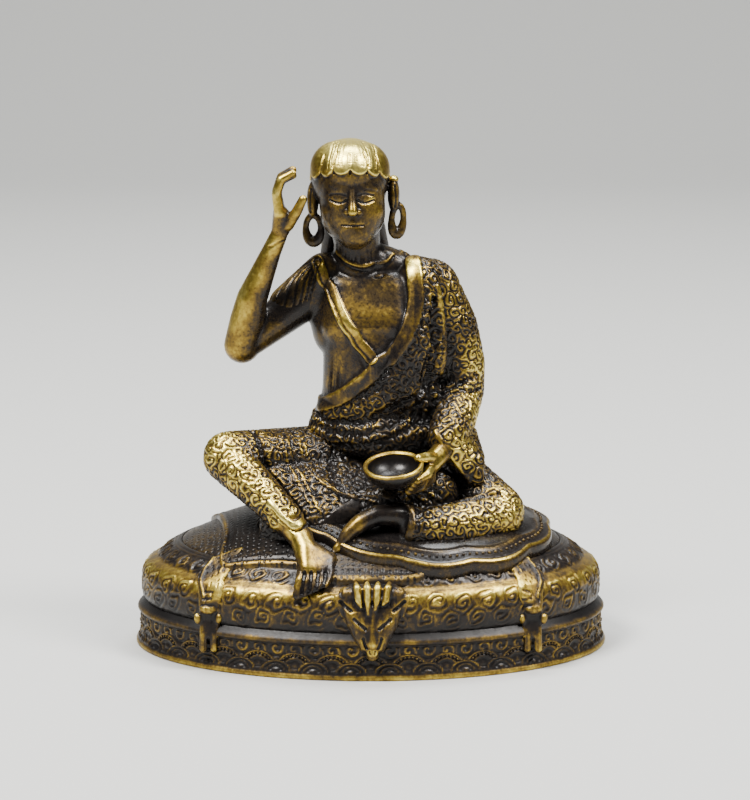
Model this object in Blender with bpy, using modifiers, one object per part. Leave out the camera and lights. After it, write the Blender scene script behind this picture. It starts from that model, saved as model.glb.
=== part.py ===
"""A small cast brass figure of a seated yogi, one hand raised to the ear and a bowl in the other.

The yogi sits on a hide spread over an oval cushion, on a low oval plinth. It was cast in one piece with all of
that, so the model is one solid: the turned base, with the sculpted figure and hide joined to it.
Metres, +Z up, -Y towards the viewer. The origin is on the table, under the middle of the plinth.
"""

import math

import bmesh
import bpy
import numpy as np
from mathutils import Matrix, Vector
from mathutils.bvhtree import BVHTree

# Driving dimensions, in metres
PLINTH_LENGTH = 0.0430
PLINTH_DEPTH = 0.0286
PLINTH_HEIGHT = 0.0039
FOOT_FLARE = 0.0005
FOOT_THICKNESS = 0.0006
LIP_HEIGHT = 0.0007
WAIST_GROOVE = 0.0007
CUSHION_INSET = 0.0006
CUSHION_THICKNESS = 0.0042
CUSHION_EDGE_ROUND = 0.0019
CUSHION_CROWN = 0.0053
HIDE_THICKNESS = 0.00045
HIDE_STRAP_WIDTH = 0.0014
HIDE_STRAP_SPREAD = 0.0142
MAT_THICKNESS = 0.0006
MAT_LENGTH = 0.0244
MAT_DEPTH = 0.0206
MAT_CENTRE = (0.0040, -0.0014)
FIGURE_HEIGHT = 0.0354
BOWL_DIAMETER = 0.0054
BOWL_HEIGHT = 0.0019
BOWL_WALL = 0.00045
BOWL_TILT = 14.0
BOWL_ROLL = -4.0

# The figure is posed on a sculptor's grid: from the cushion to the crown of the head are 35.4 parts
PARTS_TALL = 35.4
PART = FIGURE_HEIGHT / PARTS_TALL
FIGURE_SINKS = 0.0024
SEAT_HEIGHT = PLINTH_HEIGHT + CUSHION_THICKNESS + CUSHION_CROWN - FIGURE_SINKS

# The wax is worked at a thousand times its size, where Blender's voxel and merge limits suit it
WAX = 1000.0
BODY_VOXEL = 0.24
BODY_SMOOTHING = 6
BASE_STEPS = 56
BOWL_STEPS = 20
FIGURE_FACES = 5250
HIDE_FACES = 760


def clear_scene():
    for old in list(bpy.data.objects):
        bpy.data.objects.remove(old, do_unlink=True)


def collection_of(name, hidden=False):
    made = bpy.data.collections.new(name)
    bpy.context.scene.collection.children.link(made)
    made.hide_render = hidden
    return made


def brass():
    """Cast brass, rubbed bright on the high places and dark in the hollows."""
    material = bpy.data.materials.new("aged_brass")
    material.use_nodes = True
    shader = material.node_tree.nodes["Principled BSDF"]
    shader.inputs["Base Color"].default_value = (0.42, 0.31, 0.11, 1.0)
    shader.inputs["Metallic"].default_value = 1.0
    shader.inputs["Roughness"].default_value = 0.38
    return material


# Wax forms: every form is a closed shell, and the shells overlap until they are fused
def sphere_directions(detail=3):
    bm = bmesh.new()
    bmesh.ops.create_icosphere(bm, subdivisions=detail, radius=1.0)
    found = np.array([v.co for v in bm.verts])
    bm.free()
    return found


DIRECTIONS = sphere_directions()


def turned(degrees):
    """A rotation about X, then Y, then Z."""
    spin = Matrix.Rotation(math.radians(degrees[2]), 3, "Z")
    spin = spin @ Matrix.Rotation(math.radians(degrees[1]), 3, "Y")
    return spin @ Matrix.Rotation(math.radians(degrees[0]), 3, "X")


class Wax:
    """A heap of overlapping closed shells, worked in a unit of its own from an origin of its own."""

    def __init__(self, unit, origin=(0.0, 0.0, 0.0)):
        self.bm = bmesh.new()
        self.unit = unit * WAX
        self.origin = np.array(origin) * WAX

    def shell(self, points):
        """The convex skin of a cloud of points."""
        placed = np.asarray(points) * self.unit + self.origin
        fresh = [self.bm.verts.new(p) for p in placed]
        done = bmesh.ops.convex_hull(self.bm, input=fresh, use_existing_faces=False)
        inner = {e for e in done["geom_interior"] + done["geom_unused"] if isinstance(e, bmesh.types.BMVert)}
        bmesh.ops.delete(self.bm, geom=list(inner), context="VERTS")

    def hull(self, *balls):
        """The skin stretched round several balls, each (x, y, z, radius)."""
        self.shell(np.concatenate([np.array(b[:3]) + DIRECTIONS * b[3] for b in balls]))

    def limb(self, *balls):
        """A tapering limb through its balls, one after the other."""
        for first, second in zip(balls, balls[1:]):
            self.hull(first, second)

    def ball(self, centre, radii, turn=(0.0, 0.0, 0.0)):
        """An egg with three radii."""
        self.shell((DIRECTIONS * np.array(radii)) @ np.array(turned(turn)).T + np.array(centre))

    def ring(self, centre, width, height, thickness, turn=(0.0, 0.0, 0.0), steps=14):
        """An oval ring that faces the viewer before it is turned."""
        path = []
        for step in range(steps + 1):
            angle = 2 * math.pi * step / steps
            offset = turned(turn) @ Vector((width * math.cos(angle), 0.0, height * math.sin(angle)))
            path.append((*(Vector(centre) + offset), thickness))
        self.limb(*path)

    def mesh(self, name):
        made = bpy.data.meshes.new(name)
        self.bm.to_mesh(made)
        self.bm.free()
        return made


def evaluated_mesh(obj):
    """What the modifiers of an object make of it, as a plain mesh. The object is removed."""
    graph = bpy.context.evaluated_depsgraph_get()
    made = bpy.data.meshes.new_from_object(obj.evaluated_get(graph))
    bpy.data.objects.remove(obj, do_unlink=True)
    return made


def linked(name, mesh):
    obj = bpy.data.objects.new(name, mesh)
    bpy.context.scene.collection.objects.link(obj)
    return obj


def fused(mesh, voxel, smoothing):
    """Melts overlapping shells into one skin, and lets the creases between them fill a little."""
    obj = linked("wax", mesh)
    melt = obj.modifiers.new("melt", "REMESH")
    melt.mode = "VOXEL"
    melt.voxel_size = voxel
    ease = obj.modifiers.new("ease", "SMOOTH")
    ease.factor = 0.5
    ease.iterations = smoothing
    return evaluated_mesh(obj)


def thinned(mesh, faces):
    """The same skin with fewer triangles, kept where the form bends most."""
    obj = linked("thinning", mesh)
    three = obj.modifiers.new("triangles", "TRIANGULATE")
    three.quad_method = "SHORTEST_DIAGONAL"
    fewer = obj.modifiers.new("fewer", "DECIMATE")
    fewer.ratio = min(1.0, faces / (2 * len(mesh.polygons)))
    return evaluated_mesh(obj)


def joined(body, addition):
    """The union of two closed meshes."""
    base = linked("base", body)
    extra = linked("extra", addition)
    union = base.modifiers.new("union", "BOOLEAN")
    union.operation = "UNION"
    union.object = extra
    union.solver = "EXACT"
    made = evaluated_mesh(base)
    bpy.data.objects.remove(extra, do_unlink=True)
    return made


def between(a, b, c, d, t):
    """A point of the smooth curve from b to c that a and d guide."""
    square = 2 * a - 5 * b + 4 * c - d
    cube = 3 * b - a - 3 * c + d
    return 0.5 * (2 * b + (c - a) * t + square * t**2 + cube * t**3)


class Tool:
    """A modelling tool that draws ridges and grooves on a fused skin, along paths given near it."""

    def __init__(self, mesh):
        self.mesh = mesh
        self.bm = bmesh.new()
        self.bm.from_mesh(mesh)
        self.tree = BVHTree.FromBMesh(self.bm)
        self.at = np.array([v.co for v in self.bm.verts])
        self.normals = np.array([v.normal for v in self.bm.verts])
        self.moved = np.zeros(len(self.at))

    def path(self, points, spacing=0.25):
        """A smooth curve through the points, laid down on the skin."""
        knots = np.array([points[0], *points, points[-1]], dtype=float)
        samples = []
        for a, b, c, d in zip(knots, knots[1:], knots[2:], knots[3:]):
            count = max(1, int(np.linalg.norm(c - b) / spacing))
            for step in range(count):
                t = step / count
                samples.append(between(a, b, c, d, t))
        samples.append(knots[-1])
        placed = np.array(samples) * PART * WAX + np.array([0.0, 0.0, SEAT_HEIGHT * WAX])
        return np.array([self.tree.find_nearest(Vector(p))[0] for p in placed])

    def stroke(self, width, height, *points):
        """A ridge, or with a height below zero a groove, of this width along the path."""
        reach = width * PART * WAX
        nearest = np.full(len(self.at), 1e9)
        for p in self.path(points):
            nearest = np.minimum(nearest, np.linalg.norm(self.at - p, axis=1))
        share = np.clip(1 - (nearest / reach) ** 2, 0.0, 1.0) ** 2
        self.moved += share * height * PART * WAX

    def swell(self, height, centre, normal, soft, reach):
        """Raises the skin beyond a plane, within a reach of its centre: a cap of hair, for one."""
        origin = np.array(centre) * PART * WAX + np.array([0.0, 0.0, SEAT_HEIGHT * WAX])
        axis = np.array(normal) / np.linalg.norm(normal)
        offset = self.at - origin
        rise = np.clip((offset @ axis) / (soft * PART * WAX) + 0.5, 0.0, 1.0)
        near = np.linalg.norm(offset, axis=1) < reach * PART * WAX
        self.moved += near * rise * height * PART * WAX

    def done(self):
        placed = self.at + self.normals * self.moved[:, None]
        self.mesh.vertices.foreach_set("co", placed.ravel())
        self.mesh.update()
        self.bm.free()
        return self.mesh


# The turned base
def cushion_rim():
    """The radius along X of the line where the border of the cushion meets its puffed top."""
    return PLINTH_LENGTH / 2 - CUSHION_INSET - CUSHION_EDGE_ROUND * 0.7


def crown_height(radius):
    """The height of the puffed top of the cushion, at a distance from the middle measured along X."""
    share = max(0.0, 1 - (radius / cushion_rim()) ** 2)
    return PLINTH_HEIGHT + CUSHION_THICKNESS + CUSHION_CROWN * share**0.85


def top_height(x, y):
    """The height of the cushion's top over a point of its plan."""
    return crown_height(math.hypot(x, y * PLINTH_LENGTH / PLINTH_DEPTH))


def base_profile():
    """The outline of plinth and cushion from its foot up to the crown of the cushion, as (radius, height)."""
    foot = PLINTH_LENGTH / 2
    wall = foot - FOOT_FLARE
    lip = PLINTH_HEIGHT - LIP_HEIGHT
    outline = [
        (foot, 0.0),
        (foot, FOOT_THICKNESS / 2),
        (foot - FOOT_FLARE / 3, FOOT_THICKNESS),
        (wall + FOOT_FLARE / 6, FOOT_THICKNESS * 1.7),
        (wall, PLINTH_HEIGHT / 2),
        (wall, lip),
        (wall + LIP_HEIGHT / 2, lip + LIP_HEIGHT / 4),
        (wall + LIP_HEIGHT / 2, lip + LIP_HEIGHT * 3 / 4),
        (wall - WAIST_GROOVE + LIP_HEIGHT / 2, PLINTH_HEIGHT),
    ]
    edge = foot - CUSHION_INSET
    shoulder = PLINTH_HEIGHT + CUSHION_THICKNESS
    below = CUSHION_EDGE_ROUND * 0.55
    for step in range(4):
        angle = math.radians(-90 + 90 * (step + 0.4) / 4)
        radius = edge - below + below * math.cos(angle)
        outline.append((radius, PLINTH_HEIGHT + below * (1 + math.sin(angle))))
    for step in range(6):
        angle = math.radians(74 * step / 5)
        radius = edge - CUSHION_EDGE_ROUND * (1 - math.cos(angle))
        outline.append((radius, shoulder - CUSHION_EDGE_ROUND * (1 - math.sin(angle))))
    for step in range(7):
        radius = cushion_rim() * (1 - step / 6) * 0.99
        outline.append((radius, crown_height(radius)))
    return outline


def base_mesh():
    """The base as a turned profile, squeezed to its oval plan."""
    outline = base_profile()
    mesh = bpy.data.meshes.new("base_profile")
    points = [(r, 0.0, z) for r, z in reversed(outline)] + [(0.0, 0.0, 0.0)]
    mesh.from_pydata(points, [(i, i + 1) for i in range(len(points) - 1)], [])
    obj = linked("base", mesh)
    turn = obj.modifiers.new("turn", "SCREW")
    turn.steps = BASE_STEPS
    turn.render_steps = BASE_STEPS
    turn.use_merge_vertices = True
    turn.merge_threshold = 1e-6
    made = evaluated_mesh(obj)
    made.transform(Matrix.Diagonal((1.0, PLINTH_DEPTH / PLINTH_LENGTH, 1.0, 1.0)))
    return made


def front_depth(x, radius):
    """How far in front of the middle an oval of the base stands, at this x. Its radius is taken along X."""
    return math.sqrt(max(0.0, 1 - (x / radius) ** 2)) * radius * PLINTH_DEPTH / PLINTH_LENGTH


def draped_plate(outline, thickness, cell=0.0024, bury=0.0007):
    """A closed plate of this outline, laid over the top of the cushion and let into it a little."""
    bm = bmesh.new()
    bm.faces.new([bm.verts.new((x, y, 0.0)) for x, y in outline])
    for axis in (0, 1):
        reach = max(abs(v.co[axis]) for v in bm.verts)
        for step in range(-int(reach / cell), int(reach / cell) + 1):
            place = [0.0, 0.0, 0.0]
            place[axis] = step * cell
            normal = [0.0, 0.0, 0.0]
            normal[axis] = 1.0
            everything = bm.verts[:] + bm.edges[:] + bm.faces[:]
            bmesh.ops.bisect_plane(bm, geom=everything, plane_co=place, plane_no=normal, dist=1e-7)
    bmesh.ops.triangulate(bm, faces=bm.faces[:])
    bmesh.ops.recalc_face_normals(bm, faces=bm.faces[:])
    lid = bm.faces[:]
    copy = bmesh.ops.extrude_face_region(bm, geom=lid)
    raised = {v for v in copy["geom"] if isinstance(v, bmesh.types.BMVert)}
    for vert in bm.verts:
        lift = thickness if vert in raised else -bury
        vert.co.z = top_height(vert.co.x, vert.co.y) + lift
    bmesh.ops.recalc_face_normals(bm, faces=bm.faces[:])
    mesh = bpy.data.meshes.new("plate")
    bm.to_mesh(mesh)
    bm.free()
    return mesh


def smooth_outline(points, steps=3):
    """A closed smooth curve through the corners of an outline."""
    corners = [Vector(p) for p in points]
    found = []
    for i in range(len(corners)):
        a, b, c, d = (corners[(i + k) % len(corners)] for k in (-1, 0, 1, 2))
        for step in range(steps):
            t = step / steps
            found.append(between(a, b, c, d, t))
    return [(p.x, p.y) for p in found]


def mat_mesh(lobes=11, steps=66):
    """The round mat under the figure, with a scalloped edge."""
    outline = []
    for step in range(steps):
        angle = 2 * math.pi * step / steps
        scallop = 1 + 0.035 * abs(math.sin(angle * lobes / 2))
        outline.append((
            MAT_CENTRE[0] + MAT_LENGTH / 2 * scallop * math.cos(angle),
            MAT_CENTRE[1] + MAT_DEPTH / 2 * scallop * math.sin(angle),
        ))
    return draped_plate(outline, MAT_THICKNESS + HIDE_THICKNESS)


def hide_mesh():
    """The skin of the hide where it lies on the cushion. Its neck reaches the front edge."""
    neck = front_depth(0.0, cushion_rim()) * 0.97
    side = HIDE_STRAP_SPREAD - HIDE_STRAP_WIDTH / 2
    front = front_depth(side, cushion_rim())
    outline = [
        (-side - 0.0008, 0.0065), (-side - 0.0004, 0.0010), (-side + 0.0003, -0.0045), (-side, -front * 0.9),
        (-side + 0.0018, -front), (-0.0065, -neck * 0.87), (-0.0032, -neck), (0.0034, -neck),
        (0.0063, -neck * 0.87), (side - 0.0035, -front), (side, -front * 0.9), (side, -0.0040),
        (side + 0.0006, 0.0020), (side - 0.0006, 0.0070), (0.0060, 0.0098), (-0.0060, 0.0098),
    ]
    return draped_plate(smooth_outline(outline), HIDE_THICKNESS)


def hide_wax(wax):
    """The forelegs that hang down the front like straps, with hoofs, and the head between them."""
    edge = PLINTH_LENGTH / 2 - CUSHION_INSET
    shoulder = PLINTH_HEIGHT + CUSHION_THICKNESS
    half = HIDE_STRAP_WIDTH / 2 * WAX
    for side in (-1, 1):
        x = HIDE_STRAP_SPREAD
        rim_y = front_depth(x, cushion_rim())
        side_y = front_depth(x, edge)
        path = [
            (x - 0.0004, rim_y * 0.72, top_height(x, rim_y * 0.72) + 0.0002),
            (x, rim_y, shoulder + 0.0002),
            (x, side_y - 0.0001, shoulder - CUSHION_EDGE_ROUND * 0.6),
            (x + 0.0001, side_y + 0.0001, PLINTH_HEIGHT + CUSHION_THICKNESS * 0.45),
            (x + 0.0001, side_y + 0.0001, PLINTH_HEIGHT + 0.0006),
            (x + 0.0002, side_y + 0.0004, PLINTH_HEIGHT - LIP_HEIGHT),
        ]
        rows = [
            [(side * x * WAX + across * half, -y * WAX, z * WAX, 0.32) for across in (-1, 1)]
            for x, y, z in path
        ]
        for upper, lower in zip(rows, rows[1:]):
            wax.hull(*upper, *lower)
        x_hoof, y_hoof, z_hoof = (path[-1][0] * side * WAX, -path[-1][1] * WAX, path[-1][2] * WAX)
        for toe in (-1, 1):
            wax.hull(
                (x_hoof + toe * half * 0.55, y_hoof, z_hoof, 0.42),
                (x_hoof + toe * half * 0.7, y_hoof - 0.05, z_hoof - 1.2, 0.36),
            )
            wax.ball((x_hoof + toe * (half + 0.25), y_hoof + 0.1, z_hoof + 1.5), (0.35, 0.4, 0.55))
    front = front_depth(0.0, edge) * WAX
    top = shoulder * WAX
    wax.hull(
        (-2.1, -front + 0.7, top - 0.5, 0.75), (2.4, -front + 0.7, top - 0.5, 0.75),
        (-1.4, -front - 0.1, top - 2.8, 0.75), (1.7, -front - 0.1, top - 2.8, 0.75),
    )
    wax.hull(
        (-1.4, -front - 0.1, top - 2.8, 0.75), (1.7, -front - 0.1, top - 2.8, 0.75),
        (-0.45, -front - 0.4, top - 4.8, 0.65), (0.75, -front - 0.4, top - 4.8, 0.65),
    )
    wax.hull((0.15, -front - 0.3, top - 4.4, 0.85), (0.15, -front - 0.5, top - 5.6, 0.6))
    wax.limb((0.15, -front - 0.2, top - 1.6, 0.5), (0.15, -front - 0.75, top - 4.6, 0.5))
    for ear in (-1, 1):
        wax.hull(
            (0.15 + ear * 1.9, -front + 0.2, top - 1.6, 0.5),
            (0.15 + ear * 3.1, -front + 0.3, top - 0.6, 0.28),
            (0.15 + ear * 2.6, -front + 0.2, top - 2.2, 0.25),
        )
        wax.limb(
            (0.15 + ear * 0.5, -front - 0.2, top - 2.5, 0.3),
            (0.15 + ear * 1.6, -front, top - 1.9, 0.35),
        )
    for tuft in range(4):
        across = -1.2 + 0.9 * tuft
        wax.limb((across, -front + 0.4, top + 0.1, 0.3), (across, -front - 0.35, top - 1.3, 0.34))


def bowl_mesh():
    """The begging bowl: a turned cup, tilted towards the viewer."""
    rim = BOWL_DIAMETER / 2
    outer = []
    for step in range(6):
        angle = math.radians(90 * step / 5)
        outer.append((rim * math.cos(angle) ** 0.8, -BOWL_HEIGHT * math.sin(angle)))
    outer[-1] = (0.0, -BOWL_HEIGHT)
    inner = []
    for step in range(5):
        angle = math.radians(90 * step / 4)
        radius = (rim - BOWL_WALL) * math.cos(angle) ** 0.8
        inner.append((radius, -(BOWL_HEIGHT - BOWL_WALL) * math.sin(angle)))
    inner[-1] = (0.0, BOWL_WALL - BOWL_HEIGHT)
    outline = list(reversed(inner)) + outer
    mesh = bpy.data.meshes.new("bowl_profile")
    mesh.from_pydata([(r, 0.0, z) for r, z in outline], [(i, i + 1) for i in range(len(outline) - 1)], [])
    obj = linked("bowl", mesh)
    turn = obj.modifiers.new("turn", "SCREW")
    turn.steps = BOWL_STEPS
    turn.render_steps = BOWL_STEPS
    turn.use_merge_vertices = True
    turn.merge_threshold = 1e-6
    made = evaluated_mesh(obj)
    place = Vector((2.0, -8.5, 7.2)) * PART + Vector((0.0, 0.0, SEAT_HEIGHT))
    lean = Matrix.Rotation(math.radians(BOWL_TILT), 4, "X") @ Matrix.Rotation(math.radians(BOWL_ROLL), 4, "Y")
    made.transform(Matrix.Translation(place) @ lean)
    return made


# The figure, in parts from the middle of the seat: x to the viewer's right, y away from the viewer, z up
def torso(wax):
    wax.ball((1.2, 3.0, 4.5), (6.2, 4.9, 4.6))
    wax.ball((0.8, 1.3, 10.5), (4.9, 3.8, 4.0))
    wax.ball((0.7, 1.1, 16.6), (4.9, 4.0, 5.6))
    wax.hull((-1.4, 0.2, 17.0, 2.9), (-1.9, 0.2, 12.0, 2.5), (-0.4, -0.4, 14.5, 2.5))
    wax.hull((-4.1, 1.7, 21.4, 2.1), (4.2, 1.9, 21.4, 2.3), (-2.6, 1.0, 17.6, 2.7), (3.3, 1.2, 17.4, 2.8))
    wax.hull((-3.4, 1.8, 22.4, 1.7), (-1.2, 1.5, 24.3, 1.9), (2.3, 2.0, 23.0, 1.8))
    wax.limb((-1.1, 1.5, 22.5, 2.2), (-1.4, 0.9, 27.0, 2.0))


def robe(wax):
    """The cloth over the left shoulder and round the waist."""
    wax.hull((4.3, 1.2, 21.8, 2.5), (3.6, -0.7, 17.0, 2.4), (2.2, -1.1, 13.6, 2.2), (5.0, 1.6, 15.0, 2.6))
    wax.hull((2.6, -1.0, 13.2, 2.2), (0.4, -1.0, 11.4, 2.1), (-2.6, 0.0, 10.2, 2.2), (4.8, 1.2, 10.4, 2.6))
    wax.hull((-3.2, 0.6, 8.6, 2.5), (0.5, -1.3, 8.4, 2.3), (5.2, 0.8, 8.6, 2.7), (1.0, 4.0, 8.0, 2.4))


def left_arm(wax):
    """The sleeved arm that comes forward with the bowl."""
    wax.limb(
        (5.3, 2.2, 21.2, 2.75),
        (7.2, 2.4, 17.6, 2.5),
        (8.0, 2.4, 14.4, 2.35),
        (8.0, 2.2, 11.8, 2.3),
        (7.6, -0.6, 10.2, 2.05),
        (7.0, -3.0, 9.0, 1.75),
    )
    wax.hull((6.6, -3.7, 8.6, 1.5), (8.9, -2.6, 6.3, 1.4), (7.9, -0.6, 8.6, 1.6), (9.4, -3.4, 4.8, 0.8))


def left_hand(wax):
    wax.limb((6.9, -3.4, 8.0, 1.15), (6.1, -5.2, 7.4, 0.95), (5.2, -6.6, 6.8, 0.95))
    for finger in range(4):
        lower = 0.36 * finger
        wax.limb(
            (5.3, -7.0, 6.7 - lower, 0.55),
            (5.0 - 0.5 * lower, -8.5, 6.3 - lower, 0.45),
            (4.1 - 0.7 * lower, -9.5 + 0.5 * lower, 6.0 - lower, 0.36),
        )
    wax.limb((5.5, -6.4, 7.3, 0.65), (4.9, -7.6, 7.7, 0.5), (4.2, -8.4, 7.8, 0.4))


def right_arm(wax):
    """The bare arm, raised with the hand behind the ear."""
    wax.limb((-5.1, 1.6, 21.2, 2.2), (-8.2, 0.6, 18.9, 1.8), (-11.3, -0.4, 16.8, 1.6))
    wax.limb(
        (-11.6, -0.5, 16.5, 1.65),
        (-11.1, -1.0, 18.8, 1.6),
        (-10.65, -1.5, 20.9, 1.4),
        (-9.8, -1.8, 23.0, 1.15),
        (-8.9, -2.2, 25.2, 0.9),
        (-8.2, -2.5, 26.8, 0.78),
    )
    wax.hull((-6.0, 1.4, 21.6, 2.3), (-7.2, 1.0, 20.2, 2.15), (-4.4, 1.7, 21.4, 2.2))


def right_hand(wax):
    wax.hull(
        (-8.1, -2.5, 27.0, 0.75),
        (-8.0, -3.1, 29.0, 0.6),
        (-8.1, -1.6, 28.9, 0.6),
        (-7.3, -2.7, 28.2, 0.6),
    )
    for finger in range(4):
        away = 0.62 * finger
        drop = (0.25, 0.0, 0.15, 0.7)[finger]
        wax.limb(
            (-8.1, -3.3 + away, 28.9, 0.52),
            (-8.35, -3.4 + away, 30.8 - drop * 0.4, 0.46),
            (-7.95, -3.4 + away, 32.1 - drop * 0.7, 0.42),
            (-6.9, -3.3 + away, 32.75 - drop, 0.36),
        )
    wax.limb((-7.4, -2.9, 27.8, 0.6), (-6.6, -3.4, 29.0, 0.5), (-6.0, -3.5, 30.2, 0.42))


def head(wax):
    wax.hull(
        (-3.0, 0.2, 32.5, 2.2), (-0.7, 0.2, 32.4, 2.2), (-1.85, 1.6, 31.8, 3.0),
        (-1.85, 0.3, 31.4, 3.4), (-1.8, -1.0, 32.2, 2.5),
    )
    wax.hull(
        (-1.8, -0.4, 31.2, 3.0),
        (-1.55, -0.8, 28.4, 2.6),
        (-1.4, -1.9, 26.8, 1.6),
        (-1.4, 0.6, 28.0, 2.3),
    )
    wax.limb((-1.75, -3.3, 30.3, 0.35), (-1.6, -3.95, 29.1, 0.5))
    wax.ball((-5.2, 0.5, 29.6), (0.55, 1.0, 1.7), turn=(-8.0, 0.0, 0.0))
    wax.ball((2.05, 0.6, 30.0), (0.55, 1.0, 1.6), turn=(-8.0, 0.0, 0.0))
    wax.ring((-5.15, 0.3, 26.8), 0.72, 1.3, 0.36, turn=(0.0, 0.0, -12.0))
    wax.ring((2.4, 0.4, 27.7), 0.55, 1.35, 0.36, turn=(0.0, 4.0, 14.0))
    for lock in range(-2, 3):
        bend = 0.25 * abs(lock)
        wax.limb(
            (-1.7 + 0.8 * lock, 2.2 - bend, 31.0, 1.5),
            (-1.5 + 1.0 * lock, 3.3 - bend, 27.4, 1.25),
            (-1.4 + 1.35 * lock, 4.5 - bend, 23.8, 0.95),
            (-1.3 + 1.15 * lock, 5.3 - bend, 20.2 + bend, 0.5),
        )


def right_leg(wax):
    """The leg with its knee raised."""
    wax.limb((-3.0, 1.6, 5.0, 3.7), (-8.0, -1.2, 6.2, 2.75), (-12.8, -3.8, 7.0, 2.2))
    wax.limb(
        (-12.9, -3.9, 6.8, 2.1),
        (-11.5, -5.4, 5.7, 1.9),
        (-9.4, -7.0, 4.0, 1.65),
        (-7.6, -8.3, 2.3, 1.5),
    )
    wax.limb((-7.6, -8.3, 2.2, 1.25), (-6.2, -9.3, 0.8, 1.1))
    wax.hull((-8.8, -6.9, 2.5, 1.0), (-9.5, -6.3, -1.3, 0.6), (-7.0, -7.2, -1.2, 0.7), (-6.4, -7.5, 1.0, 1.0))


def right_foot(wax):
    wax.limb((-6.2, -9.3, 0.8, 1.1), (-5.7, -10.4, -0.1, 1.05))
    wax.hull(
        (-5.8, -10.2, 0.0, 1.05),
        (-3.7, -10.8, -0.9, 0.8),
        (-5.6, -11.9, -1.4, 0.8),
        (-3.7, -11.8, -1.8, 0.55),
        (-5.6, -10.4, -1.6, 0.8),
    )
    for toe in range(5):
        across = -6.1 + 0.55 * toe
        size = 0.46 - 0.03 * toe
        wax.limb(
            (across + 0.2, -11.9, -1.6, size + 0.12),
            (across, -12.8, -2.2, size + 0.03),
            (across - 0.25, -13.3, -3.5 + 0.24 * toe, size),
        )


def left_leg(wax):
    """The folded leg, thigh over shin."""
    wax.limb((4.6, 2.4, 3.8, 3.9), (8.4, -0.1, 3.0, 3.1), (11.3, -3.3, 1.7, 2.55))
    wax.limb((11.2, -4.0, 1.4, 2.4), (7.5, -6.7, 1.2, 2.1), (4.0, -8.0, 1.3, 1.75))


def left_foot(wax):
    wax.limb(
        (4.0, -7.8, 1.9, 1.35),
        (2.2, -8.3, 2.6, 1.05),
        (0.6, -8.7, 2.7, 0.95),
        (-0.9, -9.1, 2.1, 0.85),
        (-2.0, -9.5, 1.2, 0.7),
        (-2.7, -9.9, 0.3, 0.5),
    )
    for toe in range(4):
        away = 0.36 * toe
        wax.ball((-2.95 + 0.16 * toe, -10.1 + away, 0.02 + 0.06 * toe), (0.46, 0.36, 0.46))


def lap(wax):
    """The cloth stretched between the legs, and what fills the seat below the figure."""
    wax.hull(
        (-1.5, 0.0, 4.2, 2.6),
        (-9.0, -3.6, 5.0, 1.5),
        (-7.4, -6.4, 2.0, 1.2),
        (0.6, -5.4, 1.8, 2.0),
        (-3.0, -6.8, 0.6, 1.0),
    )
    wax.hull((1.6, -6.0, 3.2, 1.7), (5.5, -3.5, 3.6, 2.4), (-0.6, -5.0, 2.4, 1.8))
    wax.hull((-9.0, -4.0, 0.2, 1.6), (10.0, -3.0, -0.6, 1.6), (0.0, 5.0, -0.4, 3.0), (2.0, -7.4, -0.6, 1.4))


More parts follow.
